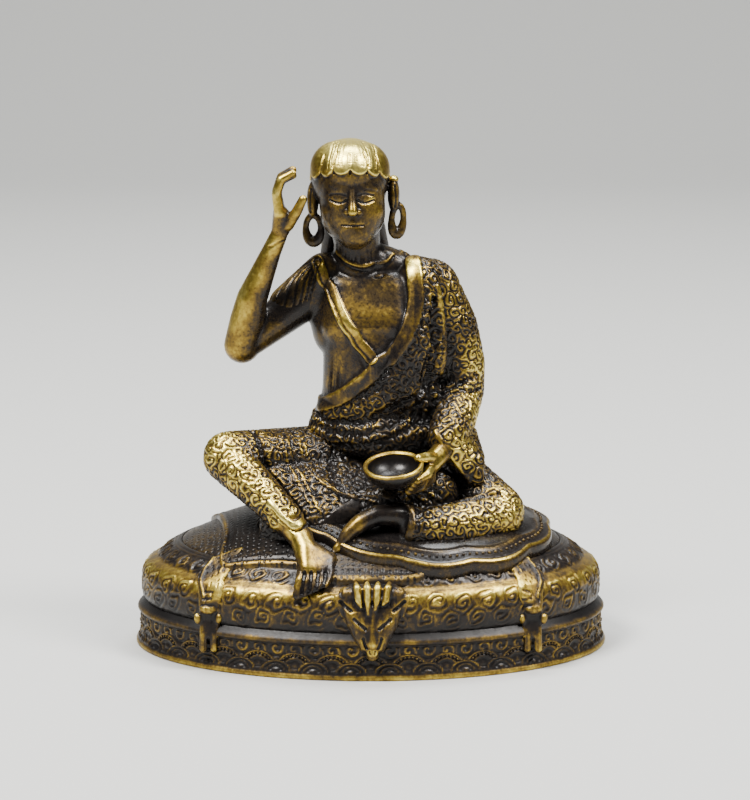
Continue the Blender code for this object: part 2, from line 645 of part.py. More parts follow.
def figure_strokes(tool):
    """Hems, folds and locks, drawn along the body."""
    lapel = 0.75
    tool.stroke(
        lapel, 0.34,
        (3.7, 0.6, 24.4), (4.0, -1.4, 22.4), (3.9, -2.2, 19.9), (2.7, -3.1, 17.2), (0.7, -3.4, 15.0),
        (-1.9, -3.1, 12.6), (-4.4, -1.0, 11.2), (-4.8, 1.4, 11.0),
    )
    tool.stroke(
        lapel, 0.28,
        (-4.6, 0.6, 23.6), (-4.0, -1.5, 22.0), (-2.5, -2.9, 19.3), (-1.0, -3.3, 17.0), (0.4, -3.4, 15.2),
    )
    tool.stroke(
        0.38, 0.2,
        (-3.4, 0.0, 24.9), (-2.4, -1.2, 24.1), (-0.3, -1.5, 23.7), (1.6, -0.9, 24.3), (2.3, 0.2, 25.2),
    )
    for fold in range(3):
        tool.stroke(
            0.5,
            -0.32,
            (-4.4, 0.0, 9.6 - 1.2 * fold),
            (-1.5, -2.8, 9.4 - 1.3 * fold),
            (2.0, -3.4, 10.6 - 1.4 * fold),
            (5.2, -1.6, 12.6 - 1.6 * fold),
        )
    for fold in range(3):
        tool.stroke(
            0.55,
            -0.45,
            (5.2 - 0.5 * fold, -0.6, 20.6 - fold),
            (5.5 - 0.7 * fold, -1.0, 16.0),
            (5.6 - 0.8 * fold, -1.4, 12.0),
            (5.4 - 0.8 * fold, -1.8, 9.4),
        )
    for pleat in range(3):
        tool.stroke(
            0.35, -0.25,
            (-4.8 - 0.7 * pleat, 0.0, 23.4 - 0.5 * pleat),
            (-5.6 - 0.9 * pleat, -0.9, 20.4 - 0.6 * pleat),
        )
    tool.stroke(0.45, 0.3, (5.2, -5.0, 9.2), (7.0, -5.4, 8.6), (8.6, -4.4, 6.6), (8.6, -3.2, 5.0))
    tool.stroke(0.45, 0.3, (-14.4, -4.6, 5.6), (-12.9, -6.2, 5.6), (-11.4, -5.8, 7.0), (-11.0, -4.2, 8.4))
    tool.stroke(0.4, 0.26, (-8.6, -8.6, 3.6), (-7.6, -9.9, 2.2), (-6.4, -9.0, 1.6))
    tool.stroke(
        0.45, 0.28,
        (-6.1, -3.5, 8.7), (-5.3, -5.0, 6.8), (-3.5, -6.5, 5.0), (-1.0, -7.0, 4.0), (0.6, -7.2, 3.5),
    )
    tool.stroke(0.6, -0.3, (-3.0, -1.5, 7.6), (-3.4, -4.0, 5.4), (-2.4, -6.0, 3.4))
    tool.stroke(0.5, -0.3, (4.2, -7.2, 3.2), (8.0, -6.0, 3.4), (11.4, -4.6, 3.4))
    for fold in range(4):
        tool.stroke(
            0.55,
            (0.35, -0.35)[fold % 2],
            (5.6 - 0.5 * fold, 4.4, 21.4 - 1.6 * fold),
            (2.0 - 0.4 * fold, 5.2, 16.4 - 1.4 * fold),
            (-2.6, 4.2, 11.6 - 1.2 * fold),
            (-4.6, 1.6, 9.6 - 1.0 * fold),
        )
    tool.stroke(
        0.4, 0.2,
        (-5.4, 0.0, 31.5), (-4.4, -2.4, 32.2), (-1.8, -3.5, 32.5), (0.8, -2.4, 32.2), (1.8, 0.0, 31.5),
    )
    tool.swell(0.3, (-1.8, 0.6, 31.4), (0.0, 0.3, 1.0), 0.5, 6.0)
    for lock in range(7):
        across = -4.2 + 0.8 * lock
        tool.stroke(0.3, -0.25, (across, -2.6, 33.4), (across * 0.9 - 0.2, -0.6, 35.6))
    for side in (-1, 1):
        tool.stroke(0.5, -0.28, (-1.75 + 0.8 * side, -3.6, 30.7), (-1.75 + 2.1 * side, -2.9, 30.6))
        tool.stroke(0.3, 0.18, (-1.75 + 0.5 * side, -3.8, 31.3), (-1.75 + 2.2 * side, -2.9, 31.4))
        tool.stroke(0.3, 0.16, (-1.7 + 0.8 * side, -3.4, 30.3), (-1.7 + 1.9 * side, -2.9, 30.3))
    tool.stroke(0.32, 0.2, (-2.4, -3.3, 28.3), (-1.55, -3.5, 28.4), (-0.7, -3.3, 28.3))
    tool.stroke(0.25, -0.16, (-2.4, -3.3, 28.0), (-0.7, -3.3, 28.0))


def figure_mesh():
    wax = Wax(PART, (0.0, 0.0, SEAT_HEIGHT))
    for form in (
        torso, robe, left_arm, left_hand, right_arm, right_hand, head,
        right_leg, right_foot, left_leg, left_foot, lap,
    ):
        form(wax)
    skin = fused(wax.mesh("figure_wax"), BODY_VOXEL, BODY_SMOOTHING)
    tool = Tool(skin)
    figure_strokes(tool)
    skin = thinned(tool.done(), FIGURE_FACES)
    skin.transform(Matrix.Scale(1 / WAX, 4))
    return skin


def hide_extras_mesh():
    wax = Wax(1 / WAX)
    hide_wax(wax)
    skin = thinned(fused(wax.mesh("hide_wax"), BODY_VOXEL, 3), HIDE_FACES)
    skin.transform(Matrix.Scale(1 / WAX, 4))
    return skin


def main():
    clear_scene()
    parts = collection_of("statue")
    body = base_mesh()
    for addition in (hide_mesh(), mat_mesh(), hide_extras_mesh(), figure_mesh(), bowl_mesh()):
        body = joined(body, addition)
    statue = bpy.data.objects.new("milarepa_statue", body)
    body.materials.clear()
    body.materials.append(brass())
    parts.objects.link(statue)


if __name__ == "__main__":
    main()
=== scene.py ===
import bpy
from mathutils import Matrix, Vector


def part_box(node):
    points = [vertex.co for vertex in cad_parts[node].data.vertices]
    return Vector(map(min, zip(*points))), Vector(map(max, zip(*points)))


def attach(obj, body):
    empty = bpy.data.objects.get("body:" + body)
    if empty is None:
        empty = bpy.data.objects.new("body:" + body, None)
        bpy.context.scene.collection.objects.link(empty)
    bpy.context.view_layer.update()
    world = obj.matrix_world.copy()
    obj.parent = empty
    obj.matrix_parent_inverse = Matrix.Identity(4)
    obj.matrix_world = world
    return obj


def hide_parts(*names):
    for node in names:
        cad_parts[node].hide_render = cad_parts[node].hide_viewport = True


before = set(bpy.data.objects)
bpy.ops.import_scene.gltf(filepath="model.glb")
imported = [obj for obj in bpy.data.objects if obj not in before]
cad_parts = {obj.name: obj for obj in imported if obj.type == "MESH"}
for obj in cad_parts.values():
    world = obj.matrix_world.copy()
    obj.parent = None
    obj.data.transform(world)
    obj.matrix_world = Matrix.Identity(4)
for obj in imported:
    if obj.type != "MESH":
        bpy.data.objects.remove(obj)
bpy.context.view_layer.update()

# The plinth
# The lowest step of the base, an oval casting with a hollowed wall. Waves are chased round its foot with
# clouds above them, and a plain ledge runs round its top. Cast brass, blackened, then rubbed along its edges.
import math

import bmesh
import bpy
import numpy as np
from mathutils import Matrix, Vector
from mathutils.bvhtree import BVHTree
from mathutils.kdtree import KDTree

MM = 0.001
statue = "milarepa_statue"
solid_low, solid_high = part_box(statue)
plinth_length = (solid_high.x - solid_low.x) / MM
plinth_depth = 2 * solid_high.y / MM
oval = plinth_depth / plinth_length
plinth_height = 3.9
foot_radius = plinth_length / 2
wall_radius = foot_radius - 0.5
lip_height = 0.7
rng = np.random.default_rng(7)


def eased(low, high, value):
    """0 below low, 1 above high, and a soft step between them."""
    share = np.clip((value - low) / (high - low), 0.0, 1.0)
    return share * share * (3 - 2 * share)


def ridge(distance, width):
    """A rounded ridge, 1 on its line and 0 beyond its width."""
    return np.exp(-((np.asarray(distance) / width) ** 2))


def round_the_oval(count):
    """Angles that cut the oval's edge into equal steps, from the front on, and how far along each lies."""
    fine = np.linspace(-math.pi / 2, math.pi * 3 / 2, 7201)
    edge = np.stack([np.cos(fine), oval * np.sin(fine)]) * foot_radius
    along = np.concatenate([[0.0], np.cumsum(np.linalg.norm(np.diff(edge), axis=0))])
    marks = np.linspace(0.0, along[-1], count, endpoint=False)
    return np.interp(marks, along, fine), marks, along[-1]


def fine_line(corners, step, rounding=2):
    """A line through its corners in equal steps, with the corners eased."""
    corners = np.array(corners, dtype=float)
    along = np.concatenate([[0.0], np.cumsum(np.linalg.norm(np.diff(corners, axis=0), axis=1))])
    marks = np.linspace(0.0, along[-1], int(along[-1] / step) + 1)
    line = np.stack([np.interp(marks, along, corners[:, axis]) for axis in range(2)], axis=1)
    for _ in range(rounding):
        line[1:-1] = (line[:-2] + 2 * line[1:-1] + line[2:]) / 4
    return line, marks


def curls(along, up, centres, spins, pitch, girth):
    """Spiral ridges, each round the nearest of the centres. girth closes the oval."""
    best = np.full(along.shape, 1e9)
    wave = np.zeros(along.shape)
    for (centre_along, centre_up), spin in zip(centres, spins):
        across = (along - centre_along + girth / 2) % girth - girth / 2
        near = np.nonzero((np.abs(across) < 2.6) & (np.abs(up - centre_up) < 2.6))
        rise = up[near] - centre_up
        radius = np.hypot(across[near], rise)
        angle = np.arctan2(rise, across[near])
        value = np.cos(2 * math.pi * radius / pitch - spin * angle)
        closer = radius < best[near]
        rows, columns = near[0][closer], near[1][closer]
        best[rows, columns] = radius[closer]
        wave[rows, columns] = value[closer]
    return wave * (1 - 0.8 * eased(0.8, 1.15, best))


def closed_skin(name, x, y, z, first_pole, last_pole):
    """A closed mesh of rings of points, each joined to the next, with a pole at each end."""
    points = np.stack(np.broadcast_arrays(x, y, z), axis=-1)
    grid = np.arange(points[..., 0].size).reshape(points.shape[:2])
    right = np.roll(grid, -1, axis=1)
    faces = np.stack([grid[:-1], right[:-1], right[1:], grid[1:]], axis=-1).reshape(-1, 4).tolist()
    faces += [(b, a, grid.size) for a, b in zip(grid[0].tolist(), right[0].tolist())]
    faces += [(a, b, grid.size + 1) for a, b in zip(grid[-1].tolist(), right[-1].tolist())]
    mesh = bpy.data.meshes.new(name)
    mesh.from_pydata(np.concatenate([points.reshape(-1, 3), [first_pole, last_pole]]).tolist(), [], faces)
    return mesh


def oval_skin(name, angles, outline, relief):
    """A closed skin over the oval, from its outline of (radius, height) pushed out by its relief."""
    radius, height = outline[:, :1], outline[:, 1:]
    slope = np.gradient(outline, axis=0)
    slope /= np.linalg.norm(slope, axis=1, keepdims=True) + 1e-9
    across = np.stack([oval * np.cos(angles), np.sin(angles)])
    across /= np.linalg.norm(across, axis=0)
    x = radius * np.cos(angles) + relief * slope[:, 1:] * across[0]
    y = radius * oval * np.sin(angles) + relief * slope[:, 1:] * across[1]
    z = height - relief * slope[:, :1]
    return closed_skin(name, x, y, z, (0.0, 0.0, outline[0, 1]), (0.0, 0.0, outline[-1, 1]))


def tree_of(points):
    """A search tree of points."""
    tree = KDTree(len(points))
    for i, point in enumerate(points):
        tree.insert(point, i)
    tree.balance()
    return tree


def open_sky():
    """How much open sky the statue's skin sees, felt with rays at places spread evenly over the solid."""
    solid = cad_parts[statue].data
    solid.calc_loop_triangles()
    corners = np.array([v.co for v in solid.vertices]) / MM
    triangles = np.array([t.vertices for t in solid.loop_triangles])
    tree = BVHTree.FromPolygons(corners.tolist(), triangles.tolist())
    a, b, c = (corners[triangles[:, i]] for i in range(3))
    normal = np.cross(b - a, c - a)
    area = np.linalg.norm(normal, axis=1)
    normal /= area[:, None] + 1e-12
    picked = rng.choice(len(area), 9000, p=area / area.sum())
    u, v = rng.random((2, len(picked)))
    u, v = np.where(u + v > 1, (1 - u, 1 - v), (u, v))
    places = a[picked] + (b - a)[picked] * u[:, None] + (c - a)[picked] * v[:, None]
    spread = rng.normal(size=(16, 3))
    spread /= np.linalg.norm(spread, axis=1, keepdims=True)
    reach = 9.0
    seen = np.zeros(len(places))
    for i, (place, out) in enumerate(zip(places, normal[picked])):
        start = Vector(place + out * 0.3)
        for way in spread:
            ray = Vector(way + out * 1.05)
            distance = tree.ray_cast(start, ray, reach)[3]
            seen[i] += 1.0 if distance is None else (distance / reach) ** 2
    return tree_of(places), seen / len(spread)


sky, sky_seen = open_sky()


def shade_and_dirt_at(points):
    """0 where a place lies open, 1 where it lies deep in a recess that little open sky reaches. The colour is
    darkened there as painted shade, and as dirt that stays in the recesses.
    """
    hidden = np.empty(len(points))
    for i, point in enumerate(points):
        near = sky.find_n(point, 5)
        weights = [1 / (distance + 0.2) for _, _, distance in near]
        hidden[i] = 1 - sum(sky_seen[index] * w for (_, index, _), w in zip(near, weights)) / sum(weights)
    return hidden


def points_of(mesh):
    points = np.empty(len(mesh.vertices) * 3)
    mesh.vertices.foreach_get("co", points)
    return points.reshape(-1, 3)


def linked(name, mesh):
    thing = bpy.data.objects.new(name, mesh)
    bpy.context.scene.collection.objects.link(thing)
    return thing


def cast(mesh, wear_and_painted_light, finish):
    """Makes a finished piece of a mesh in millimetres, with how much wear each point shows (with painted
    light from above on the melted skins) and how deep in a recess it lies, which darkens it as painted shade
    and dirt.
    """
    for label, amounts in (("wear_and_painted_light", wear_and_painted_light), ("shade_and_dirt", shade_and_dirt_at(points_of(mesh)))):
        field = mesh.attributes.new(label, "FLOAT", "POINT")
        field.data.foreach_set("value", np.asarray(amounts, dtype=np.float32))
    mesh.transform(Matrix.Scale(MM, 4))
    mesh.shade_smooth()
    mesh.materials.clear()
    mesh.materials.append(finish)
    piece = linked(mesh.name, mesh)
    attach(piece, "root")
    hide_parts(statue)


class Flow:
    """A value on its way through the nodes of a finish, so that shader maths reads as an expression."""

    def __init__(self, tree, socket=None):
        self.tree = tree
        self.socket = socket

    def add(self, kind, settings=(), sockets=(), out=0):
        """Any node: its settings first, then the values or links of its sockets."""
        node = self.tree.nodes.new(kind)
        for key, value in dict(settings).items():
            setattr(node, key, value)
        for key, value in dict(sockets).items():
            if isinstance(value, Flow):
                self.tree.links.new(value.socket, node.inputs[key])
            else:
                node.inputs[key].default_value = value
        return Flow(self.tree, node.outputs[out]) if len(node.outputs) else node

    def maths(self, operation, first, second):
        return self.add("ShaderNodeMath", {"operation": operation}, {0: first, 1: second})

    def __add__(self, other):
        return self.maths("ADD", self, other)

    def __sub__(self, other):
        return self.maths("SUBTRACT", self, other)

    def __rsub__(self, other):
        return self.maths("SUBTRACT", other, self)

    def __mul__(self, other):
        return self.maths("MULTIPLY", self, other)

    __radd__ = __add__
    __rmul__ = __mul__

    def within(self, low, high):
        """0 at low, 1 at high, and held between them."""
        spans = {"Value": self, "From Min": low, "From Max": high}
        return self.add("ShaderNodeMapRange", {"interpolation_type": "SMOOTHSTEP"}, spans)

    def coloured(self, stops):
        """The colour for this value, through stops of (value, colour) that start at 0."""
        colour = self.add("ShaderNodeValToRGB", {}, {"Fac": self}, "Color")
        shades = colour.socket.node.color_ramp.elements
        shades.remove(shades[1])
        shades[0].color = (*stops[0][1], 1.0)
        for position, shade in stops[1:]:
            shades.new(position).color = (*shade, 1.0)
        return colour


patina = (
    (0.00, (0.006, 0.005, 0.005)), (0.26, (0.015, 0.011, 0.009)), (0.42, (0.062, 0.04, 0.014)),
    (0.58, (0.215, 0.135, 0.026)), (0.78, (0.48, 0.345, 0.06)), (1.00, (0.78, 0.64, 0.17)),
)


def aged_brass(name, mottling=0.5, pits=0.0, polish=0.0):
    """Cast brass under a black-brown patina. Worn places go through brown bronze to bright yellow brass."""
    material = bpy.data.materials.new(name)
    material.use_nodes = True
    material.node_tree.nodes.clear()
    start = Flow(material.node_tree)
    place = start.add("ShaderNodeTexCoord", out="Object")
    noises = []
    for scale, detail, rough in ((3200.0, 3.0, 0.6), (620.0, 5.0, 0.62), (150.0, 2.0, 0.5)):
        sockets = {"Vector": place, "Scale": scale, "Detail": detail, "Roughness": rough}
        noises.append(start.add("ShaderNodeTexNoise", {}, sockets, "Fac"))
    grain, mottle, cloud = noises
    wear_and_painted_light = start.add("ShaderNodeAttribute", {"attribute_name": "wear_and_painted_light"}, out="Fac")
    shade_and_dirt = start.add("ShaderNodeAttribute", {"attribute_name": "shade_and_dirt"}, out="Fac")
    uneven = (mottle - 0.5) * mottling + (grain - 0.5) * 0.5 + (cloud - 0.5) * 0.3
    # Places that see little open sky are darkened here: painted shade, and dirt held in the recesses.
    wear_and_shade = wear_and_painted_light + uneven - shade_and_dirt * 0.36
    height = grain * 0.5 + mottle
    if pits:
        settings = {"voronoi_dimensions": "2D", "feature": "F1"}
        sockets = {"Vector": place, "Scale": 1900.0, "Randomness": 0.35}
        pit = 1 - start.add("ShaderNodeTexVoronoi", settings, sockets, "Distance").within(0.1, 0.34)
        wear_and_shade = wear_and_shade - pit * pits
        height = height - pit * 2.4
    # The metal mask follows the same value, so the painted shade also takes metal off.
    rubbed = wear_and_shade.within(0.15, 0.75)
    bump = {"Height": height, "Strength": 0.55, "Distance": 0.00004}
    sockets = {
        "Base Color": wear_and_shade.coloured(patina),
        "Metallic": 0.3 + rubbed * 0.7,
        "Roughness": 0.27 - polish + rubbed * 0.06 + (grain - 0.5) * 0.24 + shade_and_dirt * 0.12,
        "Specular IOR Level": 0.34,
        "Normal": start.add("ShaderNodeBump", {}, bump, "Normal"),
    }
    shader = start.add("ShaderNodeBsdfPrincipled", {}, sockets, "BSDF")
    start.add("ShaderNodeOutputMaterial", {}, {"Surface": shader})
    return material


plinth_steps = 740
plinth_angles, plinth_along, girth = round_the_oval(plinth_steps)
ledge_foot = plinth_height - lip_height
foot_corners = ((-0.45, 0.0), (-0.1, 0.0), (0.0, 0.12), (0.0, 0.34), (-0.16, 0.52))
wall_corners = (
    (0.06, 0.95), (-0.05, 1.9), (-0.02, 2.7), (-0.02, ledge_foot - 0.12), (0.3, ledge_foot + 0.02),
    (0.36, ledge_foot + 0.16), (0.26, plinth_height - 0.34), (-0.12, plinth_height - 0.02),
    (-0.46, plinth_height + 0.3), (-0.8, plinth_height + 0.34),
)
plinth_corners = [(foot_radius + out, up) for out, up in foot_corners]
plinth_corners += [(wall_radius + out, up) for out, up in wall_corners]
plinth_outline, _ = fine_line(plinth_corners, 0.082)
along, up = np.meshgrid(plinth_along, plinth_outline[:, 1])
wave_count = 33
wave_pitch = girth / wave_count
chased = np.zeros(along.shape)
covered = np.zeros(along.shape, dtype=bool)
for foot, wide, tall, shift in ((0.72, 1.42, 0.86, 0.0), (1.12, 1.66, 1.26, 0.5)):
    across = ((along / wave_pitch + shift) % 1 - 0.5) * wave_pitch
    reach = np.hypot(across / wide, (up - foot) / tall)
    arcs = ridge(reach - 0.92, 0.1) + 0.8 * ridge(reach - 0.56, 0.09) + 0.7 * ridge(reach, 0.22)
    inside = (reach < 1.05) & (up > foot - 0.1) & ~covered
    chased = np.where(inside, arcs, chased)
    covered |= inside
cloud_pitch = wave_pitch / 2
cloud_centres = [(cloud_pitch * i, 2.62 + 0.1 * (i % 2)) for i in range(2 * wave_count)]
cloud_spins = [1 if i % 2 else -1 for i in range(2 * wave_count)]
clouds = curls(along, up, cloud_centres, cloud_spins, 0.62, girth)
chased = np.where(covered, chased, 0.5 + 0.5 * clouds)
on_wall = eased(0.5, 0.75, up) * (1 - eased(2.95, 3.1, up)) * (plinth_outline[:, :1] > wall_radius - 1.0)
plinth_mesh = oval_skin("plinth", plinth_angles, plinth_outline, on_wall * (0.19 * chased - 0.04))
radius = plinth_outline[:, :1]
rim = eased(foot_radius - 0.25, foot_radius - 0.02, radius) * (up < 1.0)
ledge = eased(3.2, 3.4, up) * (1 - eased(4.05, 4.2, up))
lip = ridge(up - plinth_height + 0.42, 0.3) * (radius > wall_radius)
plinth_worn = 0.14 + on_wall * (0.46 * chased**1.4 - 0.06) + 0.52 * rim - 0.1 * ledge + 0.46 * lip
plinth_worn = np.append(plinth_worn.ravel(), [0.1, 0.1])
cast(plinth_mesh, plinth_worn, aged_brass("chased_brass", mottling=0.7, polish=-0.12))

# The beads on the waves
# A row of tiny beads along the crest of each larger wave round the foot. They are cast with the plinth.
bead_size = 0.11
bead_step = 0.36


def bead_tree():
    """Beads along a chain of edges, at equal steps."""
    tree = bpy.data.node_groups.new("beads", "GeometryNodeTree")
    names = {}
    kinds = {"Path": "Geometry", "Bead radius": "Float", "Step": "Float", "Finish": "Material"}
    for label, kind in kinds.items():
        socket = tree.interface.new_socket(name=label, in_out="INPUT", socket_type="NodeSocket" + kind)
        names[label] = socket.identifier
    tree.interface.new_socket(name="Beads", in_out="OUTPUT", socket_type="NodeSocketGeometry")
    given = tree.nodes.new("NodeGroupInput")
    curve = tree.nodes.new("GeometryNodeMeshToCurve")
    steps = tree.nodes.new("GeometryNodeResampleCurve")
    steps.mode = "LENGTH"
    bead = tree.nodes.new("GeometryNodeMeshIcoSphere")
    bead.inputs["Subdivisions"].default_value = 1
    place = tree.nodes.new("GeometryNodeInstanceOnPoints")
    real = tree.nodes.new("GeometryNodeRealizeInstances")
    finish = tree.nodes.new("GeometryNodeSetMaterial")
    made = tree.nodes.new("NodeGroupOutput")
    for giver, output, taker, entry in (
        (given, "Path", curve, "Mesh"), (curve, "Curve", steps, "Curve"), (given, "Step", steps, "Length"),
        (given, "Bead radius", bead, "Radius"), (steps, "Curve", place, "Points"),
        (bead, "Mesh", place, "Instance"), (place, "Instances", real, "Geometry"),
        (real, "Geometry", finish, "Geometry"), (given, "Finish", finish, "Material"),
        (finish, "Geometry", made, "Beads"),
    ):
        tree.links.new(giver.outputs[output], taker.inputs[entry])
    return tree, names


beads, bead_inputs = bead_tree()


def plain_mesh(thing, name):
    """What an object's modifiers make of it, as a mesh of this name. The object and its first mesh go."""
    first = thing.data
    made = bpy.data.meshes.new_from_object(thing.evaluated_get(bpy.context.evaluated_depsgraph_get()))
    bpy.data.objects.remove(thing, do_unlink=True)
    bpy.data.meshes.remove(first)
    made.name = name
    return made


def strung(name, chains, size, step, wear_and_painted_light, finish):
    """A piece of beads strung along open chains of points, all equally worn."""
    edges = []
    first = 0
    for chain in chains:
        edges += [(first + i, first + i + 1) for i in range(len(chain) - 1)]
        first += len(chain)
    path = bpy.data.meshes.new(name)
    path.from_pydata(np.concatenate(chains).tolist(), edges, [])
    thing = linked("string", path)
    string = thing.modifiers.new("beads", "NODES")
    string.node_group = beads
    for label, value in (("Bead radius", size), ("Step", step), ("Finish", finish)):
        string[bead_inputs[label]] = value
    made = plain_mesh(thing, name)
    cast(made, np.full(len(made.vertices), wear_and_painted_light), finish)


wave_chains = []
turn = np.radians(np.linspace(38, 142, 9))
out = wall_radius + 0.1
for wave in range(wave_count):
    angle = np.interp((wave * wave_pitch + 1.28 * np.cos(turn)) % girth, plinth_along, plinth_angles)
    bead_up = 1.12 + 0.98 * np.sin(turn)
    wave_chains.append(np.stack([out * np.cos(angle), out * oval * np.sin(angle), bead_up], axis=1))
strung("wave_beads", wave_chains, bead_size, bead_step, 0.42, aged_brass("bead_brass", mottling=0.4))

# The border of the cushion
# The rounded side of the seat cushion and the rim of its top, cast in one with the plinth. A running scroll
# of spirals is chased round it. The crest along its upper edge is rubbed bright, and the spirals stay dark.
cushion_edge = foot_radius - 0.6
cushion_round = 1.9
cushion_shoulder = plinth_height + 4.2
cushion_crown = 5.3
cushion_rim = cushion_edge - cushion_round * 0.7
border_width = 2.3
border_steps = 720


def top_height(x, y):
    """The height of the crowned top of the cushion over a point of its plan."""
    share = np.clip(1 - (np.hypot(x, np.asarray(y) / oval) / cushion_rim) ** 2, 0.0, 1.0)
    return cushion_shoulder + cushion_crown * share**0.85


below = cushion_round * 0.55
border_corners = [(cushion_edge - below - 1.4, plinth_height - 0.05)]
for step in range(7):
    turn = math.radians(-90 + 90 * step / 6)
    reach = cushion_edge - below + below * math.cos(turn)
    border_corners.append((reach, plinth_height + below * (1 + math.sin(turn))))
for step in range(9):
    turn = math.radians(76 * step / 8)
    reach = cushion_edge - cushion_round * (1 - math.cos(turn))
    border_corners.append((reach, cushion_shoulder - cushion_round * (1 - math.sin(turn))))
for step in range(1, 6):
    reach = cushion_rim - border_width * step / 5
    border_corners.append((reach, float(top_height(reach, 0.0))))
border_corners.append((cushion_rim - border_width - 0.1, border_corners[-1][1] - 0.9))
border_angles, border_along, _ = round_the_oval(border_steps)
border_outline, border_up = fine_line(border_corners, 0.12, rounding=1)
along, up = np.meshgrid(border_along, border_up)
side_top = float(np.interp(cushion_shoulder - 0.55, border_outline[:60, 1], border_up[:60]))
side_foot = 1.4 + below * 1.1
scroll_count = 46
scroll_pitch = girth / scroll_count
scroll_centres, scroll_spins = [], []
for i in range(scroll_count):
    for row, level in enumerate((0.3, 0.74)):
        wander = rng.uniform(-0.18, 0.18, 2)
        centre_up = side_foot + (side_top - side_foot) * level + wander[1]
        scroll_centres.append((scroll_pitch * (i + 0.5 * row) + wander[0], centre_up))
        scroll_spins.append(1 if (i + row) % 2 else -1)
    rim_along = scroll_pitch * (i + 0.25)
    scroll_centres.append((rim_along, side_top + 2.15 + rng.uniform(-0.1, 0.1)))
    scroll_spins.append(-1 if i % 2 else 1)
waver = 0.16 * np.sin(2.3 * along + 1.7 * up) + 0.1 * np.sin(5.1 * along - 2.9 * up)
scroll = 0.5 + 0.5 * curls(along + waver, up + 0.6 * waver, scroll_centres, scroll_spins, 0.52, girth)
seam = side_top + 3.05
on_side = eased(side_foot - 0.5, side_foot - 0.2, up) * (1 - eased(side_top - 0.1, side_top + 0.4, up))
on_rim = eased(side_top + 1.0, side_top + 1.25, up) * (1 - eased(seam - 0.35, seam - 0.2, up))
seams = ridge(up - seam, 0.085) + ridge(up - seam - 0.34, 0.085)
crest = eased(side_top - 1.2, side_top, up) * (1 - eased(side_top + 0.9, side_top + 1.5, up))
upper_side = on_side * eased(side_foot, side_top, up)
relief = on_side * (0.14 * scroll - 0.07) + on_rim * (0.16 * scroll - 0.07) + 0.06 * seams
relief += crest * 0.06 * scroll
border_mesh = oval_skin("cushion_border", border_angles, border_outline, relief)
fringe = ridge(up - side_foot + 0.9, 0.35)
border_worn = 0.2 + on_side * (0.38 * scroll - 0.12) + 0.16 * upper_side + on_rim * (0.34 * scroll**2 - 0.06)
border_worn += 0.14 * seams + crest * (0.2 + 0.3 * scroll) + 0.1 * fringe
scroll_brass = aged_brass("scroll_brass", mottling=0.8, polish=-0.06)
cast(border_mesh, np.append(border_worn.ravel(), [0.0, 0.0]), scroll_brass)

# The top of the cushion
# The crowned top inside the border, where the hide and the mat lie. It is punched all over with small dots
# in rows and keeps its dark patina. It is cast in one with the border.
top_steps = 300
top_angles, _, _ = round_the_oval(top_steps)
top_start = cushion_rim - border_width + 0.12
top_corners = [(top_start - 0.5, cushion_shoulder - 1.2), (top_start, cushion_shoulder - 0.3)]
for step in range(24):
    reach = top_start * (1 - step / 24) * 0.995
    top_corners.append((reach, float(top_height(reach, 0.0)) - 0.03))
top_outline, _ = fine_line(top_corners, 0.3, rounding=1)
top_mesh = oval_skin("cushion_top", top_angles, top_outline, np.zeros((len(top_outline), len(top_angles))))
top_brass = aged_brass("punched_brass", mottling=0.35, pits=0.3, polish=-0.06)
cast(top_mesh, np.full(len(top_mesh.vertices), 0.34), top_brass)

# The hide
# An animal hide spread over the cushion, its edge raised and its skin punched with dots. Its neck comes to
# the front, where the head hangs over the edge. It is cast in one with the cushion.
hide_thickness = 0.34
hide_steps = 420
strap_width = 1.4
strap_spread = 14.2


def front_depth(x, radius):
    """How far in front of the middle an oval of the base stands, at this x. Its radius is taken along X."""
    return math.sqrt(max(0.0, 1 - (x / radius) ** 2)) * radius * oval


def between(a, b, c, d, t):
    """A point of the smooth curve from b to c that a and d guide."""
    square = 2 * a - 5 * b + 4 * c - d
    cube = 3 * b - a - 3 * c + d
    return 0.5 * (2 * b + (c - a) * t + square * t**2 + cube * t**3)


def smooth_loop(corners, steps=8):
    """A closed smooth curve through corners."""
    corners = np.array(corners, dtype=float)
    found = []
    for i in range(len(corners)):
        a, b, c, d = (corners[(i + k) % len(corners)] for k in (-1, 0, 1, 2))
        found += [between(a, b, c, d, step / steps) for step in range(steps)]
    return np.array(found)


def laid_plate(name, loop, centre, thickness, count, rim):
    """A closed plate laid over the crowned cushion, and how far each of its points is from its edge."""
    offset = loop - centre
    angle = np.arctan2(offset[:, 1], offset[:, 0]) % (2 * math.pi)
    order = np.argsort(angle)
    turns = np.linspace(0.0, 2 * math.pi, count, endpoint=False)
    length = np.hypot(offset[:, 0], offset[:, 1])
    reach = np.interp(turns, angle[order], length[order], period=2 * math.pi)
    for _ in range(3):
        reach = (np.roll(reach, 1) + 2 * reach + np.roll(reach, -1)) / 4
    rows = [reach - inset for inset in [0.0, 0.0, 0.02, 0.08] + [0.08 + 0.11 * i for i in range(1, 21)]]
    rows += [rows[-1] * (1 - step / 36) for step in range(1, 36)]
    rows = np.array(rows)
    lifts = np.full((len(rows), 1), thickness)
    lifts[:3, 0] = -0.7, thickness - 0.16, thickness - 0.05
    x = centre[0] + rows * np.cos(turns)
    y = centre[1] + rows * np.sin(turns)
    edge = reach - rows
    z = top_height(x, y) + lifts + rim(edge) * (lifts > 0)
    middle_z = float(top_height(*centre))
    return closed_skin(name, x, y, z, (*centre, middle_z - 0.7), (*centre, middle_z + thickness)), edge


